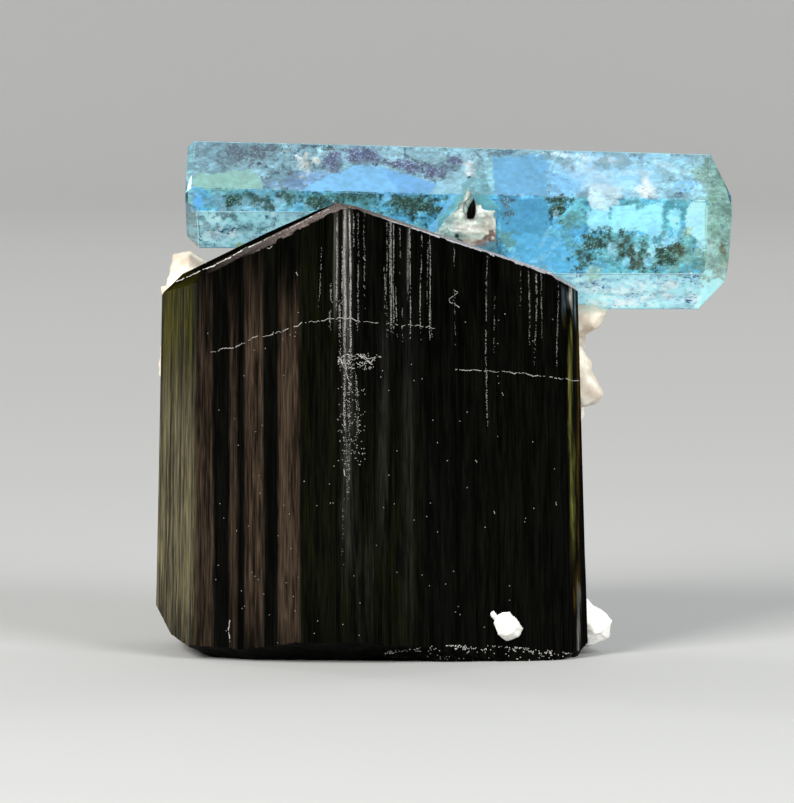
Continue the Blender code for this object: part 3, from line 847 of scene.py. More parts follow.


# Frosted striations with painted highlights, where they catch the light, in photo pixels: (centre,
# width, top, bottom, coverage, how much they are broken into dashes, whiteness)
FROSTED_LINES_AND_HIGHLIGHTS = (
    (336.5, 2.2, 220, 300, 0.7, 0.5, 0.6),
    (345.0, 3.0, 213, 330, 0.95, 0.1, 1.0),
    (349.5, 2.6, 213, 350, 0.9, 0.3, 0.8),
    (343.0, 1.6, 250, 300, 0.6, 0.5, 0.7),
    (353.0, 1.6, 218, 240, 0.6, 0.5, 0.5),
    (340.0, 3.0, 300, 360, 0.5, 0.8, 0.6),
    (344.0, 3.0, 330, 430, 0.6, 0.7, 0.8),
    (350.0, 5.0, 352, 425, 0.5, 0.8, 0.7),
    (356.0, 4.0, 375, 430, 0.35, 0.9, 0.5),
    (349.0, 6.0, 440, 490, 0.3, 0.9, 0.4),
    (343.0, 3.0, 500, 560, 0.2, 0.9, 0.3),
    (357.5, 2.0, 216, 325, 0.45, 0.7, 0.4),
    (365.0, 1.6, 214, 300, 0.4, 0.7, 0.4),
    (330.0, 2.5, 286, 320, 0.5, 0.9, 0.5),
    (320.0, 1.4, 245, 300, 0.35, 0.8, 0.4),
    (384.7, 1.2, 272, 309, 0.55, 0.6, 0.55),
    (387.3, 1.0, 216, 325, 0.4, 0.6, 0.4),
    (389.3, 1.0, 217, 326, 0.5, 0.5, 0.45),
    (391.3, 1.8, 218, 322, 0.8, 0.2, 0.5),
    (394.0, 1.3, 219, 325, 0.6, 0.6, 0.6),
    (396.4, 1.2, 290, 328, 0.5, 0.6, 0.5),
    (400.2, 1.2, 228, 268, 0.45, 0.7, 0.5),
    (401.5, 1.0, 305, 332, 0.35, 0.8, 0.4),
    (408.0, 1.6, 228, 292, 0.55, 0.3, 0.35),
    (410.2, 1.3, 228, 332, 0.7, 0.5, 0.65),
    (420.8, 1.4, 236, 332, 0.55, 0.6, 0.5),
    (427.2, 1.0, 236, 300, 0.4, 0.6, 0.35),
    (429.5, 1.2, 237, 334, 0.6, 0.5, 0.6),
    (431.5, 1.0, 268, 332, 0.5, 0.6, 0.5),
    (453.5, 1.2, 246, 258, 0.7, 0.5, 0.7),
    (455.0, 1.2, 290, 350, 0.25, 0.9, 0.5),
    (486.5, 1.6, 256, 420, 0.45, 0.7, 0.5),
    (494.0, 1.2, 300, 360, 0.25, 0.9, 0.5),
    (520.5, 1.6, 270, 300, 0.4, 0.8, 0.5),
    (528.5, 1.4, 266, 336, 0.5, 0.5, 0.5),
    (535.5, 2.0, 270, 360, 0.45, 0.8, 0.6),
    (541.0, 1.4, 274, 330, 0.5, 0.5, 0.4),
    (557.2, 1.1, 282, 360, 0.5, 0.6, 0.5),
)
FLECK_PIXELS = (0.4, 1.0)
LINE_WIDTH_SHARE = 0.7
LINE_TONE = 0.52


def frosted_line_and_highlight(line, seed):
    """The white specks of one etched striation with its painted highlight, as thrown points and quads."""
    centre, width, top, bottom, coverage, dashes, _ = line
    half = width * LINE_WIDTH_SHARE / 2 + 0.35
    rows = np.arange(top - 8, bottom + 14, FLECK_PIXELS[1])
    offsets = np.arange(-half, half + FLECK_PIXELS[0], FLECK_PIXELS[0])
    columns, rows = np.meshgrid(offsets, rows, indexing="ij")
    key = np.column_stack((rows.ravel(), np.full(rows.size, seed * 3.7), np.zeros(rows.size)))
    sway = broken(key, (60.0, 1.0, 1.0), seed, 2).reshape(rows.shape) * 0.45
    dash = broken(key, (9.0, 1.0, 1.0), seed + 1, 4).reshape(rows.shape)
    cell = np.column_stack((columns.ravel() * 20, rows.ravel() * 3, np.full(rows.size, float(seed))))
    white = hashed(np.floor(cell), seed + 2).reshape(rows.shape)
    across = ramp(-np.abs(columns), -half, -half * 0.35)
    along = ramp(rows, top - 8, top + 6) * ramp(-rows, -bottom - 14, -bottom + 10)
    chance = coverage * across * along * (1 - dashes * ramp(-dash, -0.5, 1.0))
    keep = (white < chance)[:-1, :-1]
    return fleck_grid(columns + sway + centre, rows, keep)


def fleck_white_material():
    """Matt white, toned by each speck's own frost attribute, for etched specks, cracks and painted
    highlights.
    """
    material, shader = new_material("schorl_etched_white_and_painted_highlights", Roughness=0.55, IOR=1.6)
    frost = add_node(material, "ShaderNodeAttribute", {"attribute_name": "frost"})
    link(material, frost.outputs["Color"], shader.inputs["Base Color"])
    return material


def dusted(name, parts, tones):
    """One object of the flecks in parts, each part in its own tone of white."""
    piece = joined(name, parts, ETCHED_AND_HIGHLIGHT_WHITE)
    tone = np.concatenate([np.full(len(verts), t) for (verts, _), t in zip(parts, tones)])
    grain = 0.6 + 0.8 * cloud(to_drawing(coordinates(piece)), 0.3, 61, 3)
    paint(piece, "frost", FROST_AND_HIGHLIGHT[None, :] * (tone * grain)[:, None])
    finish_piece(piece)


ETCHED_AND_HIGHLIGHT_WHITE = fleck_white_material()
lines = [frosted_line_and_highlight(line, 31 + 5 * i) for i, line in enumerate(FROSTED_LINES_AND_HIGHLIGHTS)]
dusted("etched_striations_and_painted_highlights", lines, [line[6] * LINE_TONE for line in FROSTED_LINES_AND_HIGHLIGHTS])

# %% Cracks and marks
# In photo pixels: (corners, width, unsteadiness, share that shows)
MARKS = (
    (
        ((210, 352), (240, 345), (262, 335), (278, 331), (297, 325),
         (312, 322), (335, 319), (350, 318), (365, 321)),
        1.1, 0.9, 0.85,
    ),
    (((365, 321), (392, 325), (415, 326), (436, 328)), 0.8, 0.8, 0.6),
    (((453, 369), (478, 371), (505, 372), (532, 375), (556, 378), (580, 381)), 1.1, 0.7, 0.9),
    (
        ((453.6, 290), (458, 292.5), (452.8, 296.4), (449, 299), (450, 302.6), (454.5, 303.6), (460, 308)),
        1.0, 0.1, 1.0,
    ),
    (((267, 248), (270, 248.5), (272.5, 245.5)), 0.8, 0.1, 1.0),
    (((230, 620), (228.5, 630), (230, 642)), 1.6, 0.4, 0.9),
    (((338, 361), (345, 356), (353, 359), (362, 357), (370, 361), (378, 356)), 1.3, 0.8, 0.9),
    (((344, 358), (346, 372), (350, 384)), 1.5, 0.6, 0.8),
    (((361, 362), (366, 366), (364, 371)), 1.0, 0.3, 0.9),
    (((352, 357), (360, 355.5), (368, 359), (374, 357), (382, 357.5)), 1.6, 0.5, 0.9),
    (((355, 362), (362, 366), (366, 361), (373, 365)), 1.2, 0.5, 0.9),
    (((341, 359), (343, 366), (347, 371)), 1.4, 0.4, 0.9),
    (((296, 272), (298, 276)), 0.9, 0.1, 1.0),
    (((363, 257), (365.5, 261)), 0.9, 0.1, 1.0),
    (((475.5, 460), (477, 463)), 1.2, 0.1, 1.0),
    (((494, 511), (495, 514)), 1.0, 0.1, 1.0),
    (((556, 502), (556.5, 506)), 1.2, 0.1, 1.0),
    (((344, 470), (345, 476)), 1.2, 0.2, 1.0),
)
STEP_PIXELS = 1.1
MARK_WIDTH_SHARE = 0.7
MARK_TONE = 0.5


def ribbon(mark, seed):
    """One crack or scratch as a thin unsteady ribbon on the stone."""
    corners, width, unsteady, shown = mark
    width = width * MARK_WIDTH_SHARE
    corners = np.array(corners, float)
    lengths = np.linalg.norm(np.diff(corners, axis=0), axis=1)
    reach = np.concatenate(([0.0], np.cumsum(lengths)))
    at = np.arange(0.0, reach[-1] + 0.01, min(STEP_PIXELS, reach[-1] / 3))
    path = np.column_stack([np.interp(at, reach, corners[:, i]) for i in range(2)])
    key = np.column_stack((at, np.full(len(at), seed * 2.3), np.zeros(len(at))))
    path[:, 1] += broken(key, (7.0, 1.0, 1.0), seed, 4) * unsteady
    path[:, 0] += broken(key, (5.0, 1.0, 1.0), seed + 1, 3) * unsteady * 0.5
    thick = width * (0.55 + 0.5 * ramp(broken(key, (6.0, 1.0, 1.0), seed + 2, 3), -1.0, 1.0))
    run = np.gradient(path, axis=0)
    side = np.column_stack((-run[:, 1], run[:, 0])) / np.linalg.norm(run, axis=1)[:, None]
    edges = [path + side * (thick * share)[:, None] for share in (-0.5, 0.5)]
    columns = np.stack([e[:, 0] for e in edges])
    rows = np.stack([e[:, 1] for e in edges])
    gap = hashed(np.floor(key * (0.5, 1, 1)), seed + 3)[:-1] < shown
    return fleck_grid(columns, rows, gap[None, :])


# Painted highlights: thin white lines along the rim's edges, where they catch the light.
RIM_HIGHLIGHT_LINES = (
    (((176, 281.5), (195, 273.5), (212, 266), (229, 258), (244, 249.5), (262, 241.5)), 1.3, 0.3, 0.95),
    (((262, 241.5), (290, 228), (318, 213.5), (330, 209)), 0.8, 0.3, 0.5),
    (((385, 213.5), (430, 230), (480, 247.5), (530, 265), (577, 281.5)), 1.2, 0.3, 0.6),
)
RIM_HIGHLIGHT_TONE = 0.95
tones = [MARK_TONE] * len(MARKS) + [RIM_HIGHLIGHT_TONE] * len(RIM_HIGHLIGHT_LINES)
marks = [ribbon(mark, 600 + 9 * i) for i, mark in enumerate(MARKS + RIM_HIGHLIGHT_LINES)]
dusted("cracks_scratches_and_rim_highlights", marks, tones)

# %% Painted glints on the broken base and dust along the rim
# Fields in photo pixels: (top left, bottom right, share, size, seed, whiteness, bow of the rows)
ARC_MIDDLE, ARC_HALF_WIDTH = 465.0, 105.0
SPARKS = (
    # Painted glints: the first two fields are white flecks along the base's conchoidal ridges.
    ((385, 645), (582, 650), 0.10, 0.8, 11, 0.8, 8),
    ((420, 648), (575, 662), 0.03, 0.9, 12, 0.6, 6),
    ((302, 300), (560, 640), 0.0006, 0.9, 13, 0.4, 0),
    ((205, 300), (300, 645), 0.0006, 0.8, 14, 0.4, 0),
    ((338, 354), (376, 370), 0.1, 0.7, 15, 0.7, 0),
    ((338, 385), (366, 470), 0.035, 0.8, 16, 0.45, 0),
)


def sparks(low, high, share, size, seed, whiteness, bow):
    """One field of flecks as (points, quads), and its whiteness."""
    across, down = (np.arange(low[i], high[i], size) for i in range(2))
    columns, rows = np.meshgrid(across, down, indexing="ij")
    key = np.column_stack((columns.ravel(), rows.ravel(), np.full(rows.size, float(seed))))
    clump = ramp(broken(key, (9.0, 2.5, 1.0), seed, 4), -0.4, 1.4).reshape(rows.shape)
    white = hashed(np.floor(key * 7), seed + 1).reshape(rows.shape)
    rows = rows + bow * ((columns - ARC_MIDDLE) / ARC_HALF_WIDTH) ** 2
    return fleck_grid(columns, rows, (white < share * 3 * clump)[:-1, :-1]), whiteness


painted_glints, whiteness = zip(*(sparks(*spark) for spark in SPARKS))
dusted("broken_base_painted_glints", painted_glints, whiteness)

# %% [markdown]
# ## Aquamarine: the clear shell
# Beryl is clear, with an index of 1.577, and its blue comes from light absorbed on the way through.
# The shell keeps the solid's flat faces and only has its edges worn round by a tenth of a
# millimetre, which draws the thin bright lines seen along the prism.


# %% Beryl shell
def beryl_material():
    """Clear beryl: its colour is all absorption, and a faint waviness bends its reflections."""
    material, shader = new_material(
        "beryl_clear_blue",
        Base_Color=(0.93, 0.985, 1.0, 1.0),
        Roughness=0.02,
        IOR=BERYL_IOR,
        Transmission_Weight=1.0,
    )
    place = add_node(material, "ShaderNodeTexCoord").outputs["Object"]
    drawn_out = add_node(material, "ShaderNodeMapping", {"Scale": (420, 700, 700)}, {"Vector": place})
    along = {"Vector": drawn_out.outputs[0]}
    waves = add_node(material, "ShaderNodeTexNoise", {"Scale": 1.0, "Detail": 4.0}, along)
    slight = {"Strength": 0.06, "Distance": 0.00008}
    bump = add_node(material, "ShaderNodeBump", slight, {"Height": waves.outputs["Fac"]})
    link(material, bump.outputs["Normal"], shader.inputs["Normal"])
    blue = {"Color": (0.05, 0.72, 0.96, 1.0), "Density": 80.0}
    absorb = add_node(material, "ShaderNodeVolumeAbsorption", blue)
    output = material.node_tree.nodes["Material Output"]
    link(material, absorb.outputs["Volume"], output.inputs["Volume"])
    return material


BERYL_IOR = 1.577
STEP_X_MM = -9.0
STEP_HEIGHT_MM = 0.2
END_TRIM_MM = 0.5
LEFT_GROWTH_MM = 0.15
TOP_GROWTH_MM = 0.25
NOTCH_X_MM = (-6.0, 6.5)
NOTCH_BACK_Y_MM = 12.6
NOTCH_OVERSIZE = 1.15
FLATNESS_MM = 0.06
WORN_EDGE_MM = 0.11


def notch_filling(piece):
    """A solid a little larger than the notch, trimmed to the prism's own outer faces, in metres."""
    points = to_drawing(coordinates(piece))
    thick = points[points[:, 0] > STEP_X_MM + 0.5]
    outer = outside_notch(thick)
    x, y = thick[:, 0], thick[:, 1]
    near = thick[(x > NOTCH_X_MM[0]) & (x < NOTCH_X_MM[1]) & (y < NOTCH_BACK_Y_MM)]
    middle = near.mean(axis=0)
    filling = hull_of(to_frame(middle + (near - middle) * NOTCH_OVERSIZE))
    for polygon in piece.data.polygons:
        centre, normal = to_drawing(polygon.center), np.array(polygon.normal)
        if centre[0] > 0 and ((outer - centre) @ normal).max() < FLATNESS_MM:
            slice_off(filling, polygon.center, polygon.normal)
    bmesh.ops.recalc_face_normals(filling, faces=filling.faces)
    return filling


def prism_copy(name):
    """The aquamarine's solid with its notch filled, without the 0.1 mm step between its parts, with
    its right tip eased back, and with its left end and its top a little further out."""
    piece = merged_copy("aquamarine_crystal", name)
    combined(piece, "UNION", notch_filling(piece))
    bm = bmesh.new()
    bm.from_mesh(piece.data)
    bmesh.ops.remove_doubles(bm, verts=bm.verts, dist=5e-6)
    bmesh.ops.dissolve_limit(bm, angle_limit=0.01, verts=bm.verts, edges=bm.edges)
    near = [v for v in bm.verts if abs(to_drawing(v.co)[0] - STEP_X_MM) < 0.5]
    bmesh.ops.remove_doubles(bm, verts=near, dist=STEP_HEIGHT_MM * MM)
    points = to_drawing([v.co[:] for v in bm.verts])
    x, z = points[:, 0], points[:, 2]
    # The right tip goes back below the top face, the left end out, and the top face up
    ease = ramp(x, 27.0, 30.0) * ramp(-z, -54.5, -50.5) * END_TRIM_MM
    ease = ease + ramp(-x, 26.0, 28.0) * LEFT_GROWTH_MM
    rise = ramp(z, 52.5, 55.5) * TOP_GROWTH_MM
    for v, amount, up in zip(bm.verts, ease, rise):
        v.co.x -= amount * MM
        v.co.z += up * MM
    bmesh.ops.recalc_face_normals(bm, faces=bm.faces)
    bm.to_mesh(piece.data)
    bm.free()
    return piece


shell = prism_copy("beryl_prism")
shell.data.materials.append(beryl_material())
worn = shell.modifiers.new("worn edges", "BEVEL")
worn.width = WORN_EDGE_MM * MM
worn.segments = 2
worn.limit_method = "ANGLE"
worn.angle_limit = math.radians(20)
applied(shell)
finish_piece(shell, "aquamarine_crystal")

# %% [markdown]
# ## Aquamarine: what is inside
# The crystal is full of healed cracks, veils of tiny bubbles, and flakes of mica and tourmaline.
# They and painted light are what the eye sees through the faces: the sky-blue and mint panes with
# clean edges are painted reflections of the surroundings in the back faces, the dark green clouds
# are painted shade where dark surroundings show through, and the navy veils belong to the crystal.
# Each face has a torn sheet of them a little way below it, and the upper and front faces have a
# second one deeper down that shows through the tears. A sheet is a fine grid moved in from its
# face. Noise tears it, and named panes and clouds give its colours.

# %% Palette of the inclusions
BASE_GREY_TEAL = "#7fa9b8"
PALE_TEAL = "#a3cfdc"
MINT = "#a2cfc4"
SLATE = "#566f7e"
NAVY = "#485a82"
LAVENDER = "#7ba6cf"
SKY = "#8acdf4"
SKY_DEEP = "#78bceb"
FLAT_BLUE = "#72bce2"
MID_BLUE = "#66b8dc"
TEAL = "#7cc0c8"
DEEP_TEAL = "#66aab4"
MOSS = "#3c5446"
OLIVE_BROWN = "#575b46"
CREAM = "#e2d9c8"
WHITE = "#f6f8f8"
BLUSH = "#dbeef4"
CYAN = "#ade8fd"
ICE = "#c4f1fd"
PALE_CYAN = "#aadfe8"
SAGE = "#90b2a4"
SAGE_DARK = "#6f948a"
FLECK_BROWN = "#6a5a38"
YELLOW_GREEN = "#a8b98a"
LIGHT_SKY = "#aae2fa"
WISP = "#e6f8ff"

# Some veils are dusted with bubbles: (colour of the dots, their share)
DOTS = {
    NAVY: ("#a9b4dc", 0.2),
    MOSS: ("#7aaeaa", 0.12),
    SLATE: ("#9cc3cf", 0.15),
    OLIVE_BROWN: ("#87a694", 0.11),
}

# All in photo pixels. Panes: (corners, ragged edge, strength, colour). Clouds: (middle x, y, half
# width, half height, turn in degrees, how broken, strength, colour). Later ones lie on top.
# Painted light in these palettes: the panes are painted reflections, the moss and olive-brown clouds are
# painted shade, and the white and wisp streaks are painted highlights.
UPPER = {
    "base": (BASE_GREY_TEAL, PALE_TEAL),
    "clouds": (
        (232, 160, 46, 12, 0, 0.5, 0.6, BASE_GREY_TEAL),
        (240, 150, 16, 6, 0, 0.9, 0.9, SLATE),
        (266, 152, 11, 6, 0, 1.0, 0.8, SLATE),
        (228, 157, 10, 6, 0, 1.0, 0.7, SLATE),
        (246, 158, 9, 6, 30, 1.0, 0.7, SLATE),
        (203, 156, 12, 9, 0, 1.2, 0.4, SLATE),
        (290, 178, 12, 5, 0, 1.0, 0.8, SLATE),
        (300, 183, 30, 7, -6, 0.6, 0.75, LAVENDER),
        (420, 154, 44, 7, 2, 0.8, 0.75, PALE_TEAL),
        (615, 174, 80, 30, 0, 0.2, 1.0, LIGHT_SKY),
        (676, 172, 30, 24, 0, 0.5, 0.7, "#a6dcea"),
        (575, 182, 14, 12, 0, 0.6, 0.6, SKY),
        (570, 156, 18, 3, 8, 0.7, 0.7, WISP),
        (602, 160, 28, 4, 4, 0.7, 0.7, "#e2f3fb"),
        (590, 170, 18, 3, 25, 0.7, 0.5, WISP),
        (640, 172, 26, 3, -4, 0.7, 0.5, WISP),
        (612, 188, 26, 3, 4, 0.7, 0.6, WISP),
        (672, 168, 20, 3, 20, 0.7, 0.5, WISP),
    ),
    "panes": (
        (
            ((188, 181), (200, 174), (228, 173), (235, 169), (247, 170),
             (257, 174), (263, 183), (264, 191), (198, 191)),
            1.0, 0.95, MINT,
        ),
        (
            ((286, 182), (300, 173), (322, 172), (332, 176), (318, 184), (300, 190), (286, 189)),
            1.5, 0.8, LAVENDER,
        ),
        (
            ((299, 193), (307, 187), (323, 178), (340, 171), (353, 166), (371, 164),
             (385, 167), (395, 174), (413, 178), (430, 182), (446, 187), (430, 195)),
            0.8, 1.0, SKY,
        ),
        (
            ((385, 167), (395, 172), (420, 178), (446, 187), (438, 195), (402, 195), (392, 184)),
            0.8, 0.8, SKY_DEEP,
        ),
        (((427, 195), (440, 181), (453, 172), (464, 167), (468, 178), (460, 195)), 0.8, 0.9, PALE_TEAL),
        (((493, 156), (547, 156), (549, 196), (493, 196)), 1.5, 0.95, FLAT_BLUE),
        (((540, 177), (547, 176), (548, 190), (541, 191)), 0.5, 0.6, MID_BLUE),
        (((549, 172), (568, 176), (572, 196), (549, 196)), 1.5, 0.8, SKY),
        (((556, 160), (580, 158), (610, 178), (622, 196), (588, 196), (572, 176)), 2.0, 0.45, "#c4dcee"),
        (((482, 157), (492, 157), (494, 190), (484, 180)), 1.0, 0.85, PALE_CYAN),
        (((462, 184), (470, 178), (482, 176), (490, 186), (496, 199), (464, 199)), 0.8, 0.9, "#7db8c0"),
        (((478, 186), (488, 184), (492, 192), (482, 192)), 0.6, 0.7, "#5f9aa4"),
        (((592, 185), (616, 185), (622, 198), (588, 198)), 1.0, 0.75, BLUSH),
    ),
    "over": (
        (331, 162, 11, 10, 0, 0.55, 0.95, NAVY),
        (361, 155, 22, 9, 6, 0.5, 0.95, NAVY),
        (408, 166, 26, 6, 12, 0.5, 0.95, NAVY),
        (436, 172, 14, 6, 16, 0.6, 0.95, NAVY),
        (455, 160, 9, 5, -20, 0.8, 0.9, NAVY),
        (306, 166, 4.5, 11, 6, 0.8, 0.85, CREAM),
        (315, 159, 6, 4, 35, 0.9, 0.7, CREAM),
        (300, 162, 3, 5, 0, 0.9, 0.8, WHITE),
        # Each finished piece is one object at the origin with its place in its mesh, a colour attribute where
        # its colour follows the stone, and the root body as its parent.
        (470, 170, 6, 10, -18, 0.6, 1.0, WHITE),
        (478, 176, 8, 5, 30, 0.8, 0.7, TEAL),
        (617, 162, 13, 7, -4, 1.3, 0.55, "#7f9faa"),
        (603, 168, 8, 4, 0, 1.1, 0.15, SLATE),
        (646, 191, 10, 9, 0, 0.35, 1.0, WHITE),
        (645, 180, 4, 4, 0, 0.5, 0.9, WHITE),
        (628, 184, 9, 4, 0, 0.9, 0.7, ICE),
        (668, 184, 9, 5, -30, 1.0, 0.6, ICE),
        (706, 178, 20, 24, 0, 0.6, 0.85, SAGE),
        (724, 190, 12, 24, 0, 0.3, 0.9, SAGE),
        (712, 172, 10, 9, 40, 1.1, 0.8, SAGE_DARK),
        (692, 188, 10, 7, 0, 0.9, 0.7, SKY),
        (698, 192, 9, 6, 0, 0.6, 0.9, "#b8ecfa"),
    ),
}
FRONT = {
    "base": (TEAL, MID_BLUE),
    "clouds": (
        (240, 201, 60, 12, 0, 0.6, 0.9, BASE_GREY_TEAL),
        (340, 201, 60, 12, 0, 0.6, 0.7, DEEP_TEAL),
        (262, 206, 40, 6, 0, 0.9, 0.6, PALE_TEAL),
        (232, 199, 9, 9, 0, 0.45, 1.0, MOSS),
        (250, 197, 11, 6, 0, 1.0, 0.75, MOSS),
        (269, 206, 8, 5, 10, 1.1, 0.75, MOSS),
        (286, 197, 10, 7, 0, 0.8, 0.85, MOSS),
        (312, 200, 16, 8, 0, 0.7, 0.95, MOSS),
        (330, 205, 10, 6, 0, 1.0, 0.6, MOSS),
        (358, 198, 20, 6, 0, 0.9, 0.8, MOSS),
        (414, 207, 26, 12, 6, 0.75, 0.95, MOSS),
        (400, 200, 14, 6, 0, 0.8, 0.8, MOSS),
        (385, 198, 6, 5, 0, 0.6, 0.95, SKY),
        (198, 201, 5, 8, 0, 0.15, 1.0, SKY_DEEP),
        (190, 200, 3, 10, 0, 0.5, 0.8, MINT),
        (528, 214, 34, 22, 0, 0.2, 0.9, FLAT_BLUE),
        (560, 250, 30, 24, 15, 0.7, 0.7, FLAT_BLUE),
        (540, 258, 40, 14, 20, 0.8, 0.5, PALE_TEAL),
        (576, 205, 12, 10, 0, 0.7, 0.9, TEAL),
        (620, 252, 60, 18, 0, 0.8, 0.7, TEAL),
        (675, 256, 34, 20, 0, 0.8, 0.6, SAGE),
        (650, 202, 60, 5, 0, 0.9, 0.6, TEAL),
    ),
    "panes": (
        (((586, 209), (608, 208), (609, 231), (590, 230), (586, 224)), 1.0, 1.0, CYAN),
        (((610, 208), (662, 206), (663, 226), (655, 240), (640, 230), (610, 231)), 1.6, 1.0, CYAN),
        (((665, 202), (687, 200), (689, 221), (664, 222)), 1.2, 0.8, DEEP_TEAL),
        (((668, 210), (680, 208), (684, 232), (670, 234)), 1.6, 0.8, CYAN),
        (
            ((688, 201), (705, 200), (711, 212), (710, 226), (700, 238), (690, 232), (686, 216)),
            1.4, 1.0, ICE,
        ),
        (((584, 190), (620, 190), (617, 204), (606, 210), (592, 209)), 1.0, 0.9, BLUSH),
        (((417, 243), (430, 247), (474, 190), (468, 182), (461, 184)), 0.6, 0.95, SKY),
        (((424, 246), (430, 247), (474, 190), (471, 186)), 0.4, 0.8, CYAN),
        (((440, 215), (457, 196), (470, 190), (464, 200), (450, 214), (438, 226)), 0.8, 0.9, "#7fbcc2"),
        (((468, 190), (478, 190), (500, 206), (498, 209), (478, 209), (472, 200)), 0.6, 1.0, "#74b2ba"),
        (((500, 199), (548, 199), (548, 233), (500, 237)), 1.0, 1.0, "#61a9c9"),
        (((522, 200), (536, 200), (536, 216), (524, 222)), 1.4, 0.5, "#5b9fc6"),
        (((504, 238), (548, 234), (572, 252), (592, 273), (560, 273), (520, 259)), 2.5, 0.92, "#6fc0e2"),
        (
            ((450, 217), (460, 203), (467, 191), (471, 193), (470, 200), (466, 212), (462, 218)),
            0.6, 0.9, "#c8ddd4",
        ),
    ),
    "over": (
        (507, 209, 5, 9, 0, 1.0, 0.8, SLATE),
        (506, 239, 9, 7, 0, 0.7, 0.8, SAGE_DARK),
        (705, 256, 8, 15, 0, 0.8, 0.9, SAGE),
        (557, 208, 9, 14, 0, 0.7, 1.0, MOSS),
        (556, 200, 11, 4, 0, 0.8, 0.9, MOSS),
        (568, 220, 9, 6, 30, 1.0, 0.6, SAGE_DARK),
        (556, 212, 3, 5, 0, 0.6, 0.8, PALE_TEAL),
        (596, 243, 14, 10, 0, 0.9, 0.9, MOSS),
        (581, 256, 10, 12, 0, 0.75, 0.9, MOSS),
        (626, 253, 18, 14, 0, 0.75, 0.9, MOSS),
        (622, 244, 12, 8, 0, 1.0, 0.7, OLIVE_BROWN),
        (640, 262, 10, 8, 0, 0.9, 0.8, OLIVE_BROWN),
        (665, 254, 12, 11, 0, 0.7, 0.95, MOSS),
        (679, 250, 9, 9, 45, 0.5, 0.9, OLIVE_BROWN),
        (608, 256, 8, 6, 0, 0.8, 0.8, TEAL),
        (626, 262, 5, 5, 0, 0.5, 0.95, CYAN),
        (646, 262, 4, 6, 0, 0.5, 0.95, CYAN),
        (613, 248, 4, 8, 20, 0.9, 0.8, PALE_TEAL),
        (636, 250, 3, 8, 0, 0.9, 0.7, PALE_TEAL),
        (668, 240, 12, 4, -30, 0.9, 0.8, CYAN),
        (689, 233, 5, 4, 0, 0.8, 0.7, "#c4cfae"),
        (700, 243, 7, 8, 0, 0.9, 0.9, ICE),
        (651, 250, 3, 12, 0, 0.8, 0.8, CYAN),
        (724, 228, 15, 56, 0, 0.25, 1.0, SAGE),
        (716, 262, 14, 12, 0, 0.8, 0.7, SAGE_DARK),
        (556, 244, 20, 2.2, -52, 1.2, 0.5, "#a4daec"),
        (566, 258, 16, 2.2, -35, 1.2, 0.5, "#a4daec"),
        (546, 236, 10, 1.6, -62, 1.2, 0.45, "#a4daec"),
        (530, 262, 14, 1.6, -20, 1.2, 0.5, "#a4daec"),
        (721, 254, 3, 10, 0, 0.8, 0.8, FLECK_BROWN),
        (714, 222, 5, 10, 0, 1.0, 0.6, SAGE_DARK),
        (594, 273, 10, 8, 0, 0.3, 1.0, "#a9cfc9"),
        (588, 276, 2.2, 1.5, 0, 0.2, 1.0, "#141c1e"),
    ),
}
LOWER = {
    "base": ("#b2e6ee", ICE),
    "clouds": (
        (200, 218, 7, 4, 0, 0.9, 0.7, "#4a6a6e"),
        (226, 216, 10, 3.5, 0, 0.9, 0.7, "#4a6a6e"),
        (258, 227, 16, 3, 2, 1.1, 0.6, "#5f8890"),
        (268, 234, 12, 2.5, 4, 1.1, 0.6, "#5f8890"),
        (215, 234, 26, 6, 0, 0.9, 0.45, WHITE),
        (243, 246, 12, 3, 0, 0.6, 0.9, YELLOW_GREEN),
        (640, 300, 50, 3, -4, 1.3, 0.6, WHITE),
        (672, 286, 34, 3, 3, 1.3, 0.6, WHITE),
        (612, 291, 30, 2.5, 2, 1.2, 0.4, WHITE),
        (700, 298, 16, 4, -10, 1.2, 0.6, WHITE),
        (650, 293, 40, 2, 0, 1.2, 0.3, SAGE),
        (722, 284, 12, 14, 0, 0.5, 0.8, SAGE),
        (594, 277, 10, 5, 0, 0.3, 0.95, MINT),
    ),
}
HIDDEN = {"base": (TEAL, PALE_TEAL)}
FAR_END = {"base": (SAGE, "#9cc0c0")}
RIGHT_END = {
    "base": (SAGE, "#a6c6bc"),
    "clouds": (
        (716, 176, 10, 10, 30, 1.0, 0.35, SAGE_DARK),
        (712, 164, 10, 8, 0, 0.8, 0.6, "#9cc0c0"),
        (726, 220, 6, 30, 0, 1.0, 0.3, SAGE_DARK),
        (704, 294, 30, 26, 0, 0.4, 1.0, "#b9eff1"),
    ),
    "over": ((722, 250, 3, 7, 0, 0.8, 0.8, FLECK_BROWN), (727, 262, 2, 6, 0, 0.9, 0.5, FLECK_BROWN)),
}
LEFT_END = {
    "base": ("#6f9aa8", "#86b4bd"),
    "clouds": ((192, 228, 14, 14, 0, 0.6, 0.8, "#95c3c8"), (193, 204, 5, 6, 0, 0.5, 0.8, "#6fb0d8")),
}


# %% Laying the colours
def polygon_distance(pixels, corners):
    """Distance in pixels from a polygon's edge, positive inside."""
    corners = np.array(corners, float)
    nearest = np.full(len(pixels), 1e9)
    inside = np.zeros(len(pixels), bool)
    for a, b in zip(corners, np.roll(corners, -1, axis=0)):
        edge = b - a
        t = np.clip(((pixels - a) @ edge) / (edge @ edge), 0, 1)
        nearest = np.minimum(nearest, np.linalg.norm(pixels - (a + t[:, None] * edge), axis=1))
        crosses = (a[1] > pixels[:, 1]) != (b[1] > pixels[:, 1])
        slope = (b[0] - a[0]) / (b[1] - a[1] if b[1] != a[1] else 1e-9)
        inside ^= crosses & (pixels[:, 0] < a[0] + (pixels[:, 1] - a[1]) * slope)
    return np.where(inside, nearest, -nearest)


CLOUD_MARGIN = 8
BUBBLE_MM = 0.1
FLECK_MM = 0.13


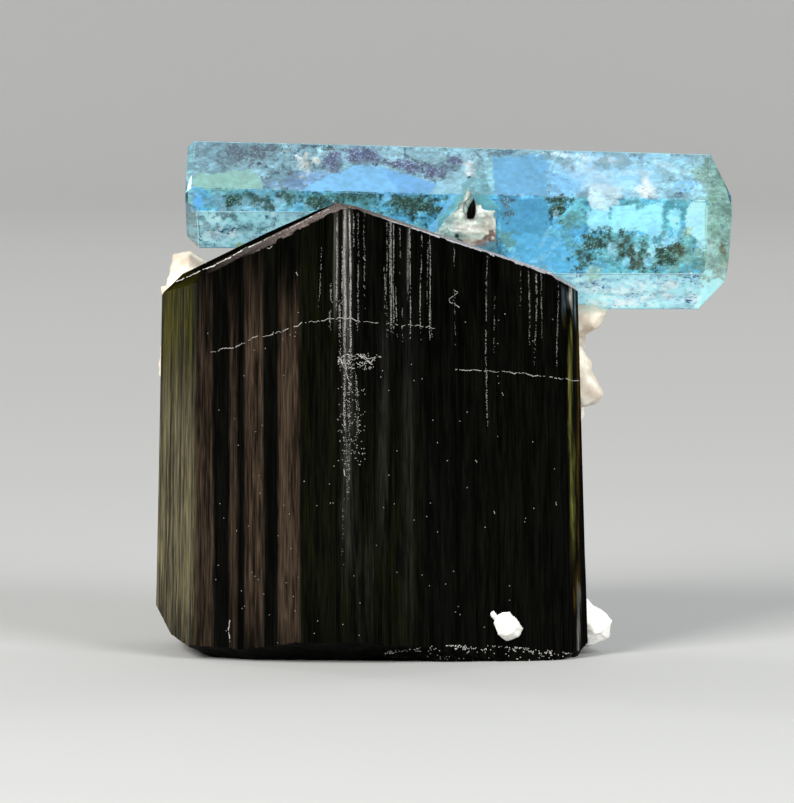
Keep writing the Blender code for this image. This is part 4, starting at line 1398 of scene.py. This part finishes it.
def lay_clouds(colour, solid, points_mm, pixels, clouds, seed):
    """Lays ragged ovals of colour over the points' colours, some of them dusted with bubbles."""
    for i, (cx, cy, half_x, half_y, turn, raggedness, strength, tint) in enumerate(clouds):
        a = math.radians(turn)
        away_x, away_y = pixels[:, 0] - cx, pixels[:, 1] - cy
        near = (np.abs(away_x) < half_x * 2 + CLOUD_MARGIN)
        near &= np.abs(away_y) < half_x + half_y * 2 + CLOUD_MARGIN
        if not near.any():
            continue
        dx, dy = away_x[near], away_y[near]
        u = (dx * math.cos(a) + dy * math.sin(a)) / half_x
        v = (-dx * math.sin(a) + dy * math.cos(a)) / half_y
        shape = broken(points_mm[near], (1.8, 1.6, 1.4), seed + 7 * i, 3)
        fine = broken(points_mm[near], (0.6, 0.6, 0.5), seed + 7 * i + 3, 5)
        inward = 1.0 - np.sqrt(u**2 + v**2) + 0.16 * shape * (0.3 + raggedness)
        share = ramp(inward + fine * 0.5 * raggedness, -0.2, 0.5) * strength
        colour[near] = blend(colour[near], linear(tint), share)
        if tint in DOTS:
            dots, amount = DOTS[tint]
            dot = hashed(np.floor(points_mm[near] / BUBBLE_MM + 0.5), seed + 7 * i + 5) < amount
            colour[near] = colour[near] * np.exp(-0.3 * share * np.clip(fine, -1.2, 1.5))[:, None]
            colour[near] = blend(colour[near], linear(dots), share * dot)
        solid[near] = np.maximum(solid[near], share)


def lay_panes(colour, solid, points_mm, pixels, panes, seed):
    """Lays flat panes with clean or ragged edges over the points' colours."""
    for i, (corners, raggedness, strength, tint) in enumerate(panes):
        warp = broken(points_mm, (1.1, 1.0, 0.8), seed + 5 * i, 4)
        share = ramp(polygon_distance(pixels, corners) + warp * raggedness, -0.5, 0.5) * strength
        colour[:] = blend(colour, linear(tint), share)
        solid[:] = np.maximum(solid, share)


def inclusion_colours(points_mm, pixels, palette, seed):
    """The colour of each point and how solid the stone is there."""
    mottle = broken(points_mm, (2.0, 1.5, 1.5), seed)
    first, second = (linear(tint) for tint in palette["base"])
    colour = blend(np.tile(first, (len(pixels), 1)), second, ramp(mottle, -0.7, 0.7))
    solid = np.zeros(len(pixels))
    lay_clouds(colour, solid, points_mm, pixels, palette.get("clouds", ()), seed + 50)
    lay_panes(colour, solid, points_mm, pixels, palette.get("panes", ()), seed + 400)
    flat = ramp(solid, 0.85, 0.95)
    lay_clouds(colour, solid, points_mm, pixels, palette.get("over", ()), seed + 700)
    fine = broken(points_mm, (0.5, 0.35, 0.3), seed + 900, 4)
    soft = broken(points_mm, (1.6, 1.4, 1.2), seed + 920, 3)
    grain = np.exp((0.15 * fine + 0.08 * soft) * (1 - 0.6 * flat))
    colour = colour * grain[:, None]
    fleck = hashed(np.floor(points_mm / FLECK_MM + 0.5), seed + 9)
    bright = ramp(fleck, 0.972, 0.98) * ramp(mottle, -0.2, 0.8) * (1 - 0.8 * flat)
    dark = ramp(-fleck, -0.012, -0.006) * (1 - 0.8 * flat)
    colour = blend(colour, linear(WHITE), 0.7 * bright)
    colour = blend(colour, linear(MOSS), 0.6 * dark)
    return colour, solid


# %% Torn sheets below the faces
BRIGHTEST = 0.97
LEAST_ROOM_SHARE = 0.3
WAVINESS = 0.22


def refracted(normal):
    """The direction that a ray from the camera takes inside the crystal, below a face."""
    cos_in = -LOOK @ normal
    ratio = 1 / BERYL_IOR
    cos_out = math.sqrt(max(0.0, 1 - ratio**2 * (1 - cos_in**2)))
    return ratio * LOOK + (ratio * cos_in - cos_out) * normal


def torn_sheet(face, depth, cell, palette, cover, gain, seed):
    """Points, faces and colours of one sheet below one face of the solid."""
    normal, corners = face
    seen_face = -LOOK @ normal > 0.05
    along = np.array([1.0, 0.0, 0.0]) - normal * normal[0]
    if np.linalg.norm(along) < 0.5:
        along = np.array([0.0, 1.0, 0.0]) - normal * normal[1]
    along /= np.linalg.norm(along)
    across = np.cross(normal, along)
    origin = corners[0]
    us, vs = ((corners - origin) @ axis for axis in (along, across))
    us = np.arange(us.min(), us.max() + cell, cell)
    vs = np.arange(vs.min(), vs.max() + cell, cell)
    u, v = (g.ravel() for g in np.meshgrid(us, vs, indexing="ij"))
    on_face = origin + np.outer(u, along) + np.outer(v, across)
    wave = broken(on_face, (4.0, 3.0, 2.2), seed + 1, 4)
    below = depth * (1 + WAVINESS * np.clip(wave, -1.5, 1.5))
    inner = on_face - normal * below[:, None]
    # How far each point lies inside the clear solid
    room = np.zeros(len(inner))
    for i, p in enumerate(inner):
        spot, out, _, distance = BERYL_TREE.find_nearest(p)
        room[i] = distance if (spot - Vector(p)).dot(out) > 0 else -distance
    if seen_face:
        ray = refracted(normal)
        pixels = pixel_of(inner - ray * (below / -(ray @ normal))[:, None])
    else:
        pixels = np.full((len(inner), 2), -1000.0)
    as_seen = np.column_stack((pixels[:, 0], np.zeros(len(pixels)), pixels[:, 1])) * PIXEL_MM
    noise_mm = as_seen if seen_face else on_face
    colour, solid = inclusion_colours(noise_mm, pixels, palette, seed + 20)
    patchy = broken(noise_mm, (2.0, 1.6, 1.5), seed + 4)
    wanted = cover + 0.14 * patchy
    wanted = wanted + (0.98 - wanted) * solid
    dust = hashed(np.floor(on_face / cell * 3 + 0.5), seed + 6)
    flake = ramp(broken(noise_mm, (0.45, 0.4, 0.4), seed + 8, 3), -1.8, 1.8)
    kept = room > LEAST_ROOM_SHARE * below
    quads = quads_of(len(us), len(vs))
    stays = 0.45 * dust[quads[:, 0]] + 0.55 * flake[quads[:, 0]] < wanted[quads[:, 0]]
    points, quads, used = only_used(inner, quads[kept[quads].all(axis=1) & stays])
    return points, quads, np.clip(colour[used] * gain, 0, BRIGHTEST)


def inclusion_material(name, glow):
    """Light that reaches a veil from behind is given as a faint glow in the veil's own colour."""
    material, shader = new_material(name, Roughness=0.6, IOR=1.5, Emission_Strength=glow)
    veil = add_node(material, "ShaderNodeAttribute", {"attribute_name": "veil"})
    link(material, veil.outputs["Color"], shader.inputs["Base Color"])
    if glow:
        link(material, veil.outputs["Color"], shader.inputs["Emission Color"])
    shader.inputs["Specular IOR Level"].default_value = 0.1
    return material


# %% The prism's own faces
INCLUSION = inclusion_material("healed_fracture_veil_and_painted_reflections", 0.0)
BACKLIT = inclusion_material("healed_fracture_backlit", 0.5)
bare = prism_copy("bare_prism")
bare_points = to_drawing(coordinates(bare))
BERYL_TREE = tree_of(bare.data, bare_points)
FACE_MIN_AREA_MM2 = 0.9
prism_faces = []
for polygon in bare.data.polygons:
    corners = bare_points[list(polygon.vertices)]
    if polygon.area / MM**2 > FACE_MIN_AREA_MM2:
        prism_faces.append((np.array(polygon.normal), corners))
bpy.data.objects.remove(bare)
print("prism faces with sheets below them:", len(prism_faces))


def face_group(normal):
    """(group name, palette, cell in mm, brightness gain that paints the light the face gets, coverage) of a
    face from the way it looks.
    """
    turn = math.degrees(math.atan2(normal[2], -normal[1]))
    seen = -LOOK @ normal > 0.05
    if normal[0] > 0.3 and normal[2] < -0.3 and seen:
        return "lower_end", RIGHT_END, 0.1, LOWER_PAINTED_LIGHT_GAIN, 0.9
    if normal[0] > 0.3 and seen:
        return "right_end", RIGHT_END, 0.1, END_PAINTED_LIGHT_GAIN, 0.95
    if normal[0] < -0.3 and seen:
        return "left_end", LEFT_END, 0.1, END_PAINTED_LIGHT_GAIN, 0.9
    if 30 < turn < 90:
        return "upper", UPPER, 0.1, UPPER_PAINTED_LIGHT_GAIN, 0.68
    if -30 <= turn <= 30 and seen:
        return "front", FRONT, 0.1, FRONT_PAINTED_LIGHT_GAIN, 0.8
    if -90 < turn < -30 and seen:
        return "lower", LOWER, 0.1, LOWER_PAINTED_LIGHT_GAIN, 0.8
    if abs(normal[0]) > 0.3:
        return "far_end", FAR_END, 0.12, END_PAINTED_LIGHT_GAIN, 0.9
    return "hidden_" + str(round(turn / 60) % 6), HIDDEN, 0.2, 1.0, 0.45 if normal[1] > 0.4 else 0.6


# Painted light: each face group's colours are made brighter or darker for the light that face gets.
UPPER_PAINTED_LIGHT_GAIN = 0.87
FRONT_PAINTED_LIGHT_GAIN = 1.1
END_PAINTED_LIGHT_GAIN = 1.35
LOWER_PAINTED_LIGHT_GAIN = 1.0
LAYER_DEPTHS = (0.16, 1.2)
DEEP_CELL_SHARE = 1.6
DEEP_COVER_SHARE = 0.6
sheets = {}
for layer, depth in enumerate(LAYER_DEPTHS):
    for normal, corners in prism_faces:
        group, palette, cell, gain, cover = face_group(normal)
        if layer and (group.startswith("hidden") or "end" in group or "lower" in group):
            continue
        if layer:
            cell, cover = cell * DEEP_CELL_SHARE, cover * DEEP_COVER_SHARE
        sheet = torn_sheet((normal, corners), depth, cell, palette, cover, gain, 1000 + 30 * layer)
        sheets.setdefault("veil_" + group + ("_deep" if layer else ""), []).append(sheet)
for name, parts in sheets.items():
    piece = joined(name, parts, BACKLIT if "lower" in name else INCLUSION)
    paint(piece, "veil", np.concatenate([part[2] for part in parts]))
    finish_piece(piece)

# %% [markdown]
# ## Aquamarine: pale edges
# The prism's edges catch the light as thin pale lines, and that light is painted on: a Geometry Nodes
# tree sweeps a small round section of pale matt colour along the edges, just inside the shell.

# %% Edge lines
EDGE_RADIUS_MM = 0.05
EDGE_INSET_MM = 0.1
EDGE_ANGLE = math.radians(20)


def shows_pale(edge):
    """The long edges are pale, but not the one between the upper face and the front."""
    if any(abs(f.normal.x) > 0.3 for f in edge.link_faces):
        return False
    out = sum((f.normal for f in edge.link_faces), Vector())
    return not 10 < math.degrees(math.atan2(out.z, -out.y)) < 50


def edge_paths():
    """The prism's sharp edges as loose edges, drawn in a little."""
    piece = prism_copy("edge_paths")
    bm = bmesh.new()
    bm.from_mesh(piece.data)
    bpy.data.objects.remove(piece)
    inset = {}
    for v in bm.verts:
        p = Vector(to_drawing(v.co))
        outward = sum((f.normal for f in v.link_faces), Vector())
        inset[v] = p - outward.normalized() * EDGE_INSET_MM
    sharp = [e for e in bm.edges if len(e.link_faces) == 2 and e.calc_face_angle(0) > EDGE_ANGLE]
    sharp = [e for e in sharp if e.calc_length() > 0.4 * MM and shows_pale(e)]
    points = [inset[v] for e in sharp for v in e.verts]
    bm.free()
    mesh = bpy.data.meshes.new("edge_paths")
    mesh.from_pydata([tuple(to_frame(p)) for p in points], [(i, i + 1) for i in range(0, len(points), 2)], [])
    return shown("pale_edges", mesh)


def sweep_tree(material):
    """A Geometry Nodes tree that sweeps a round section along loose edges, and its radius socket."""
    tree = bpy.data.node_groups.new("sweep_along_edges", "GeometryNodeTree")
    tree.interface.new_socket("Geometry", in_out="INPUT", socket_type="NodeSocketGeometry")
    radius = tree.interface.new_socket("Radius", in_out="INPUT", socket_type="NodeSocketFloat")
    tree.interface.new_socket("Geometry", in_out="OUTPUT", socket_type="NodeSocketGeometry")
    add = tree.nodes.new
    source, result = add("NodeGroupInput"), add("NodeGroupOutput")
    curve, section = add("GeometryNodeMeshToCurve"), add("GeometryNodeCurvePrimitiveCircle")
    sweep, paint_on = add("GeometryNodeCurveToMesh"), add("GeometryNodeSetMaterial")
    real = add("GeometryNodeRealizeInstances")
    section.inputs["Resolution"].default_value = 5
    sweep.inputs["Fill Caps"].default_value = True
    paint_on.inputs["Material"].default_value = material
    for a, b in (
        (source.outputs["Geometry"], curve.inputs["Mesh"]),
        (source.outputs["Radius"], section.inputs["Radius"]),
        (curve.outputs["Curve"], sweep.inputs["Curve"]),
        (section.outputs["Curve"], sweep.inputs["Profile Curve"]),
        (sweep.outputs["Mesh"], real.inputs["Geometry"]),
        (real.outputs["Geometry"], paint_on.inputs["Geometry"]),
        (paint_on.outputs["Geometry"], result.inputs["Geometry"]),
    ):
        tree.links.new(a, b)
    return tree, radius.identifier


# Painted highlight: the edge tubes are a pale matt colour that stands for light on the edges.
edge_white = (*linear("#d3edf2"), 1.0)
pale_edge = new_material("beryl_edge_painted_highlight", Base_Color=edge_white, Roughness=0.5, IOR=1.57)[0]
edges = edge_paths()
tree, radius_socket = sweep_tree(pale_edge)
sweep = edges.modifiers.new("sweep", "NODES")
sweep.node_group = tree
sweep[radius_socket] = EDGE_RADIUS_MM * MM
applied(edges)
finish_piece(edges)

# %% [markdown]
# ## Feldspar
# Feldspar breaks along flat cleavages into steps, and weathers to a soft cream. Each CAD lump is
# wrapped in a fine skin, and its points are moved along their normals by noise that is cut into
# steps, which leaves little terraces as on a broken crystal.


# %% Feldspar material
def feldspar_material(name, pale, warm, stain, stain_share):
    """Cloudy feldspar with stained pits and a little light scattered under its skin."""
    material, shader = new_material(name, Roughness=0.5, IOR=1.53)
    place = add_node(material, "ShaderNodeTexCoord").outputs["Object"]
    broad = add_node(material, "ShaderNodeTexNoise", {"Scale": 420.0, "Detail": 5.0}, {"Vector": place})
    fine = add_node(material, "ShaderNodeTexNoise", {"Scale": 2600.0, "Detail": 5.0}, {"Vector": place})
    tone = add_node(material, "ShaderNodeValToRGB", links={"Fac": broad.outputs["Fac"]})
    tone.color_ramp.elements[0].position = 0.35
    tone.color_ramp.elements[0].color = (*linear(warm), 1)
    tone.color_ramp.elements[1].position = 0.62
    tone.color_ramp.elements[1].color = (*linear(pale), 1)
    spread = {"From Min": stain_share, "From Max": stain_share + 0.08, "To Min": 0.0, "To Max": 0.8}
    dirt = add_node(material, "ShaderNodeMapRange", spread, {"Value": fine.outputs["Fac"]})
    mixed = add_node(material, "ShaderNodeMix", {"data_type": "RGBA"})
    link(material, dirt.outputs["Result"], mixed.inputs["Factor"])
    link(material, tone.outputs["Color"], mixed.inputs[6])
    mixed.inputs[7].default_value = (*linear(stain), 1)
    link(material, mixed.outputs[2], shader.inputs["Base Color"])
    rough = {"Strength": 0.5, "Distance": 0.00008}
    bump = add_node(material, "ShaderNodeBump", rough, {"Height": fine.outputs["Fac"]})
    link(material, bump.outputs["Normal"], shader.inputs["Normal"])
    shader.inputs["Subsurface Weight"].default_value = 0.25
    shader.inputs["Subsurface Radius"].default_value = (1.0, 0.9, 0.8)
    shader.inputs["Subsurface Scale"].default_value = 0.0012
    return material


def pocket_filling(node, around, reach):
    """The hull of a node's points that lie close round another node's box, in metres."""
    low, high = (np.array(corner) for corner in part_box(around))
    points = np.unique(coordinates(nodes[node]), axis=0)
    inside = ((points > low - reach) & (points < high + reach)).all(axis=1)
    return hull_of(points[inside])


POCKET_REACH_MM = 0.45
TERRACES = 14
OUTERMOST_STEP = 0.62


def broken_surface(name, node, skin, relief, seed, material, around=None):
    """A finely skinned copy of a CAD lump with cleavage terraces, inside the lump's own box."""
    piece = merged_copy(node, name)
    if around:
        filling = pocket_filling(node, around, POCKET_REACH_MM * MM)
        filling.from_mesh(piece.data)
        filling.to_mesh(piece.data)
        filling.free()
    wrap = piece.modifiers.new("skin", "REMESH")
    wrap.mode = "VOXEL"
    wrap.voxel_size = skin
    applied(piece)
    points, normals = coordinates(piece), fetched(piece.data.vertices, "normal")
    rough = cloud(to_drawing(points), (1.6, 1.6, 1.1), seed, octaves=4)
    steps = np.floor(rough * TERRACES) / TERRACES * 0.8 + rough * 0.2
    moved = points + normals * ((steps - OUTERMOST_STEP) * relief * MM)[:, None]
    low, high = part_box(node)
    move_to(piece, np.clip(moved, np.array(low), np.array(high)))
    piece.data.materials.clear()
    piece.data.materials.append(material)
    piece.data.shade_smooth()
    piece.data.set_sharp_from_angle(angle=math.radians(32))
    return piece


SADDLE = {
    "base": ("#b9c6bb", "#d6d6ca"),
    "clouds": (
        (468, 228, 34, 22, 0, 0.8, 0.6, "#a9c2bd"),
        (448, 226, 12, 10, 0, 0.9, 0.8, "#93b7b8"),
        (466, 208, 5, 12, 20, 0.5, 0.9, "#dfe0d4"),
        (486, 214, 12, 6, 0, 0.9, 0.9, "#e6eae2"),
        (472, 228, 22, 6, -8, 0.9, 0.8, "#e2dcd6"),
        (452, 238, 14, 4, 12, 0.8, 0.7, "#7fa6a6"),
        (488, 226, 8, 8, 0, 0.9, 0.6, "#d8d2c4"),
        (478, 245, 14, 4, 18, 0.9, 0.8, "#b7a49c"),
    ),
    "panes": (
        (((470, 245), (484, 242), (500, 240), (504, 262), (476, 256)), 1.4, 0.95, "#4f93ad"),
        (((479, 240), (490, 240), (486, 246), (474, 245)), 1.2, 0.7, "#8a7068"),
    ),
    "over": (
        (491, 236, 6, 5, 0, 0.8, 0.95, "#6e4a40"),
        (486, 239, 4, 3, 0, 0.9, 0.9, "#54352c"),
        (495, 240, 3, 3, 0, 0.9, 0.8, "#5c3d33"),
        (477, 242, 4, 2, 0, 1.0, 0.8, "#8a6a5e"),
        (457, 236, 2.2, 2.4, 0, 0.2, 1.0, "#0d0f0f"),
        (460, 240, 3.2, 1.2, 20, 0.2, 1.0, "#16191a"),
        (446, 234, 1.4, 1.0, 0, 0.2, 0.9, "#1b2020"),
        # Painted highlights: the two small white spots.
        (470, 233, 3, 1.2, 0, 1.0, 0.7, WHITE),
        (480, 211, 5, 2, 0, 1.0, 0.8, WHITE),
    ),
}
CREAM_SPAR = feldspar_material("feldspar_cream_cleaved", "#ece5d6", "#cbb8a1", "#9a8c78", 0.68)
WHITE_SPAR = feldspar_material("feldspar_white", "#fbfaf6", "#f0ece4", "#b8b2a8", 0.72)
PINK_SPAR = feldspar_material("feldspar_stained", "#ffffff", "#cfd6d2", "#8a6a5a", 0.7)
painted = add_node(PINK_SPAR, "ShaderNodeAttribute", {"attribute_name": "spar"})
toned = add_node(PINK_SPAR, "ShaderNodeMix", {"data_type": "RGBA", "blend_type": "MULTIPLY", 0: 1.0})
spar_nodes = PINK_SPAR.node_tree.nodes
link(PINK_SPAR, painted.outputs["Color"], toned.inputs[6])
link(PINK_SPAR, spar_nodes["Mix"].outputs[2], toned.inputs[7])
link(PINK_SPAR, toned.outputs[2], spar_nodes["Principled BSDF"].inputs["Base Color"])
# (piece, node, skin in metres, relief in mm, seed, material)
LUMPS = (
    ("feldspar_back_mass", "feldspar_matrix", 0.0003, 0.6, 500, CREAM_SPAR),
    ("feldspar_white_foot", "feldspar_foot", 0.00014, 0.7, 540, WHITE_SPAR),
    ("feldspar_white_bud", "feldspar_bud", 0.0001, 0.45, 560, WHITE_SPAR),
)
for name, node, skin, relief, seed, material in LUMPS:
    finish_piece(broken_surface(name, node, skin, relief, seed, material), node)

# %% [markdown]
# ## Feldspar under the prism
# The saddle of feldspar is grown into the aquamarine: its middle stands out of the clear face and
# its border runs back under it. Its stains and grains are painted on its points, with two small
# painted highlights.

# %% The saddle
SADDLE_OUTLINE = (
    (467, 187), (472, 195), (477, 207), (498, 207), (499, 236),
    (500, 262), (430, 245), (435, 226), (439, 214), (455, 205),
)
SADDLE_SINK_MM = 1.5
SADDLE_TONE = 0.68
BLADE_OUTLINE = ((472.7, 197), (476, 206), (476, 214), (474.5, 220), (467.5, 220), (465.5, 213), (468, 204))
BLADE_RECESS_MM = 0.35
BERYL_FACE_Y_MM = 6.0
saddle_lump = ("feldspar_under_prism", "feldspar_saddle", 0.00012, 0.35, 520, PINK_SPAR)
saddle = broken_surface(*saddle_lump, around="tourmaline_blade")
points_mm = to_drawing(coordinates(saddle))
pixels = pixel_of(points_mm)
border = polygon_distance(pixels, SADDLE_OUTLINE) + 1.6 * broken(points_mm, (1.2, 1.2, 1.2), 523, 4)
sink = ramp(-border, -3.0, 2.0) * SADDLE_SINK_MM
sink = sink + ramp(polygon_distance(pixels, BLADE_OUTLINE), -5.0, 0.5) * BLADE_RECESS_MM
front_side = points_mm[:, 1] < BERYL_FACE_Y_MM + 0.4
points_mm[:, 1] = np.where(front_side, points_mm[:, 1] + sink, points_mm[:, 1])
move_to(saddle, to_frame(points_mm))
saddle_colour = inclusion_colours(points_mm, pixels, SADDLE, 1900)[0]
paint(saddle, "spar", saddle_colour * SADDLE_TONE)
finish_piece(saddle, "feldspar_saddle")

# %% [markdown]
# ## The small black blade
# A slim tourmaline blade stands in the feldspar under the prism. It is drop-shaped: a sharp point
# above and a blunter foot. The solid is a faceted block of the same height, so here it is drawn
# again with round sides.

# %% Blade
BLADE_WIDTH_MM = 1.02
BLADE_RINGS = 28
BLADE_SEGMENTS = 20
blade_low, blade_high = (to_drawing(corner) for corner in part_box("tourmaline_blade"))
blade_middle = (blade_low + blade_high) / 2
BLADE_TOP_TRIM_MM, BLADE_FOOT_GROWTH_MM = 0.5, 0.25
blade_top = blade_high[2] - BLADE_TOP_TRIM_MM
blade_foot = blade_low[2] - BLADE_FOOT_GROWTH_MM
BLADE_LEAN_MM = 0.35
blade_verts, blade_faces = [], []
for ring in range(BLADE_RINGS):
    down = ring / (BLADE_RINGS - 1)
    wide = math.sin(math.pi * (0.01 + 0.72 * down**1.15)) ** 0.9
    for i in range(BLADE_SEGMENTS):
        a = 2 * math.pi * i / BLADE_SEGMENTS
        x = blade_middle[0] + wide * BLADE_WIDTH_MM / 2 * math.cos(a) + BLADE_LEAN_MM * (0.35 - down)
        y = blade_middle[1] + wide**0.3 * (blade_high[1] - blade_low[1]) * 0.5 * math.sin(a)
        blade_verts.append((x, y, blade_top - down * (blade_top - blade_foot)))
for ring in range(BLADE_RINGS - 1):
    for i in range(BLADE_SEGMENTS):
        j = (i + 1) % BLADE_SEGMENTS
        upper, lower = ring * BLADE_SEGMENTS, (ring + 1) * BLADE_SEGMENTS
        blade_faces.append((upper + i, lower + i, lower + j, upper + j))
blade_faces.append(tuple(reversed(range(BLADE_SEGMENTS))))
blade_faces.append(tuple(range(len(blade_verts) - BLADE_SEGMENTS, len(blade_verts))))
jet = (*JET, 1.0)
blade_black, blade_shader = new_material("schorl_black_blade", Base_Color=jet, Roughness=0.3, IOR=1.64)
blade_shader.inputs["Specular IOR Level"].default_value = 0.01
blade = object_from("tourmaline_drop", to_frame(blade_verts), blade_faces, blade_black)
blade.data.shade_smooth()
finish_piece(blade, "tourmaline_blade")

# %% [markdown]
# ## Studio
# The specimen stands on a pale sweep that curves up behind it. The sky is bright from above and
# dim in front, as in a studio where the camera stands in the dark, so the black faces stay black
# while the clear crystal still fills with light.

# %% Floor
FLOOR_HALF_WIDTH = 0.6
FLOOR_FRONT_Y = -0.4
SWEEP_START_Y = 0.8
SWEEP_RADIUS = 0.36
SWEEP_HEIGHT = 0.46
SWEEP_STEPS = 16
profile = [(FLOOR_FRONT_Y, 0.0), (SWEEP_START_Y, 0.0)]
for i in range(1, SWEEP_STEPS + 1):
    a = math.pi / 2 * i / SWEEP_STEPS
    profile.append((SWEEP_START_Y + SWEEP_RADIUS * math.sin(a), SWEEP_RADIUS * (1 - math.cos(a))))
profile.append((SWEEP_START_Y + SWEEP_RADIUS, SWEEP_HEIGHT))
floor_verts = [(x, y, z) for x in (-FLOOR_HALF_WIDTH, FLOOR_HALF_WIDTH) for y, z in profile]
count = len(profile)
floor_faces = [(i, i + count, i + count + 1, i + 1) for i in range(count - 1)]
paper = new_material("pale_paper", Base_Color=(*linear("#a3a3a1"), 1.0), Roughness=0.9)[0]
floor = object_from("floor", floor_verts, floor_faces, paper)
floor.data.shade_smooth()


# %% Lights
def softbox(name, place, aim, size, power, tint):
    """A rectangular area light, in metres and watts, turned to face its aim."""
    data = bpy.data.lights.new(name, "AREA")
    data.shape = "RECTANGLE"
    data.size, data.size_y = size
    data.energy = power
    data.color = tint
    lamp = shown(name, data)
    lamp.location = place
    lamp.rotation_euler = (Vector(aim) - Vector(place)).to_track_quat("-Z", "Y").to_euler()


softbox("key_left", (-0.38, -0.45, 0.40), (0, 0, 0.04), (0.3, 0.3), 7.0, (1.0, 0.985, 0.96))
softbox("fill_right", (0.42, -0.42, 0.38), (0, 0, 0.04), (0.3, 0.3), 4.6, (0.96, 0.985, 1.0))
for side in (-1, 1):
    softbox("backdrop", (0.7 * side, 0.5, 0.5), (-0.1 * side, 1.15, 0.05), (0.4, 0.4), 4.6, (1.0, 1.0, 1.0))

world = bpy.data.worlds.new("studio")
bpy.context.scene.world = world
world.use_nodes = True
ground = world.node_tree.nodes["Background"]
direction = add_node(world, "ShaderNodeTexCoord")
split = add_node(world, "ShaderNodeSeparateXYZ", links={"Vector": direction.outputs["Generated"]})
product = add_node(world, "ShaderNodeMath", {"operation": "MULTIPLY"})
# (axis, from where to where it brightens, strength there)
BRIGHTENING = (("Z", 0.2, 0.75, 0.015, 0.35), ("Y", 0.0, 0.6, 1.0, 3.2))
for i, (axis, start, end, least, most) in enumerate(BRIGHTENING):
    spread = {"From Min": start, "From Max": end, "To Min": least, "To Max": most}
    spread["interpolation_type"] = "SMOOTHSTEP"
    brighter = add_node(world, "ShaderNodeMapRange", spread, {"Value": split.outputs[axis]})
    link(world, brighter.outputs["Result"], product.inputs[i])
link(world, product.outputs[0], ground.inputs["Strength"])
ground.inputs["Color"].default_value = (0.94, 0.97, 1.0, 1.0)
bpy.context.scene.view_settings.view_transform = "Standard"
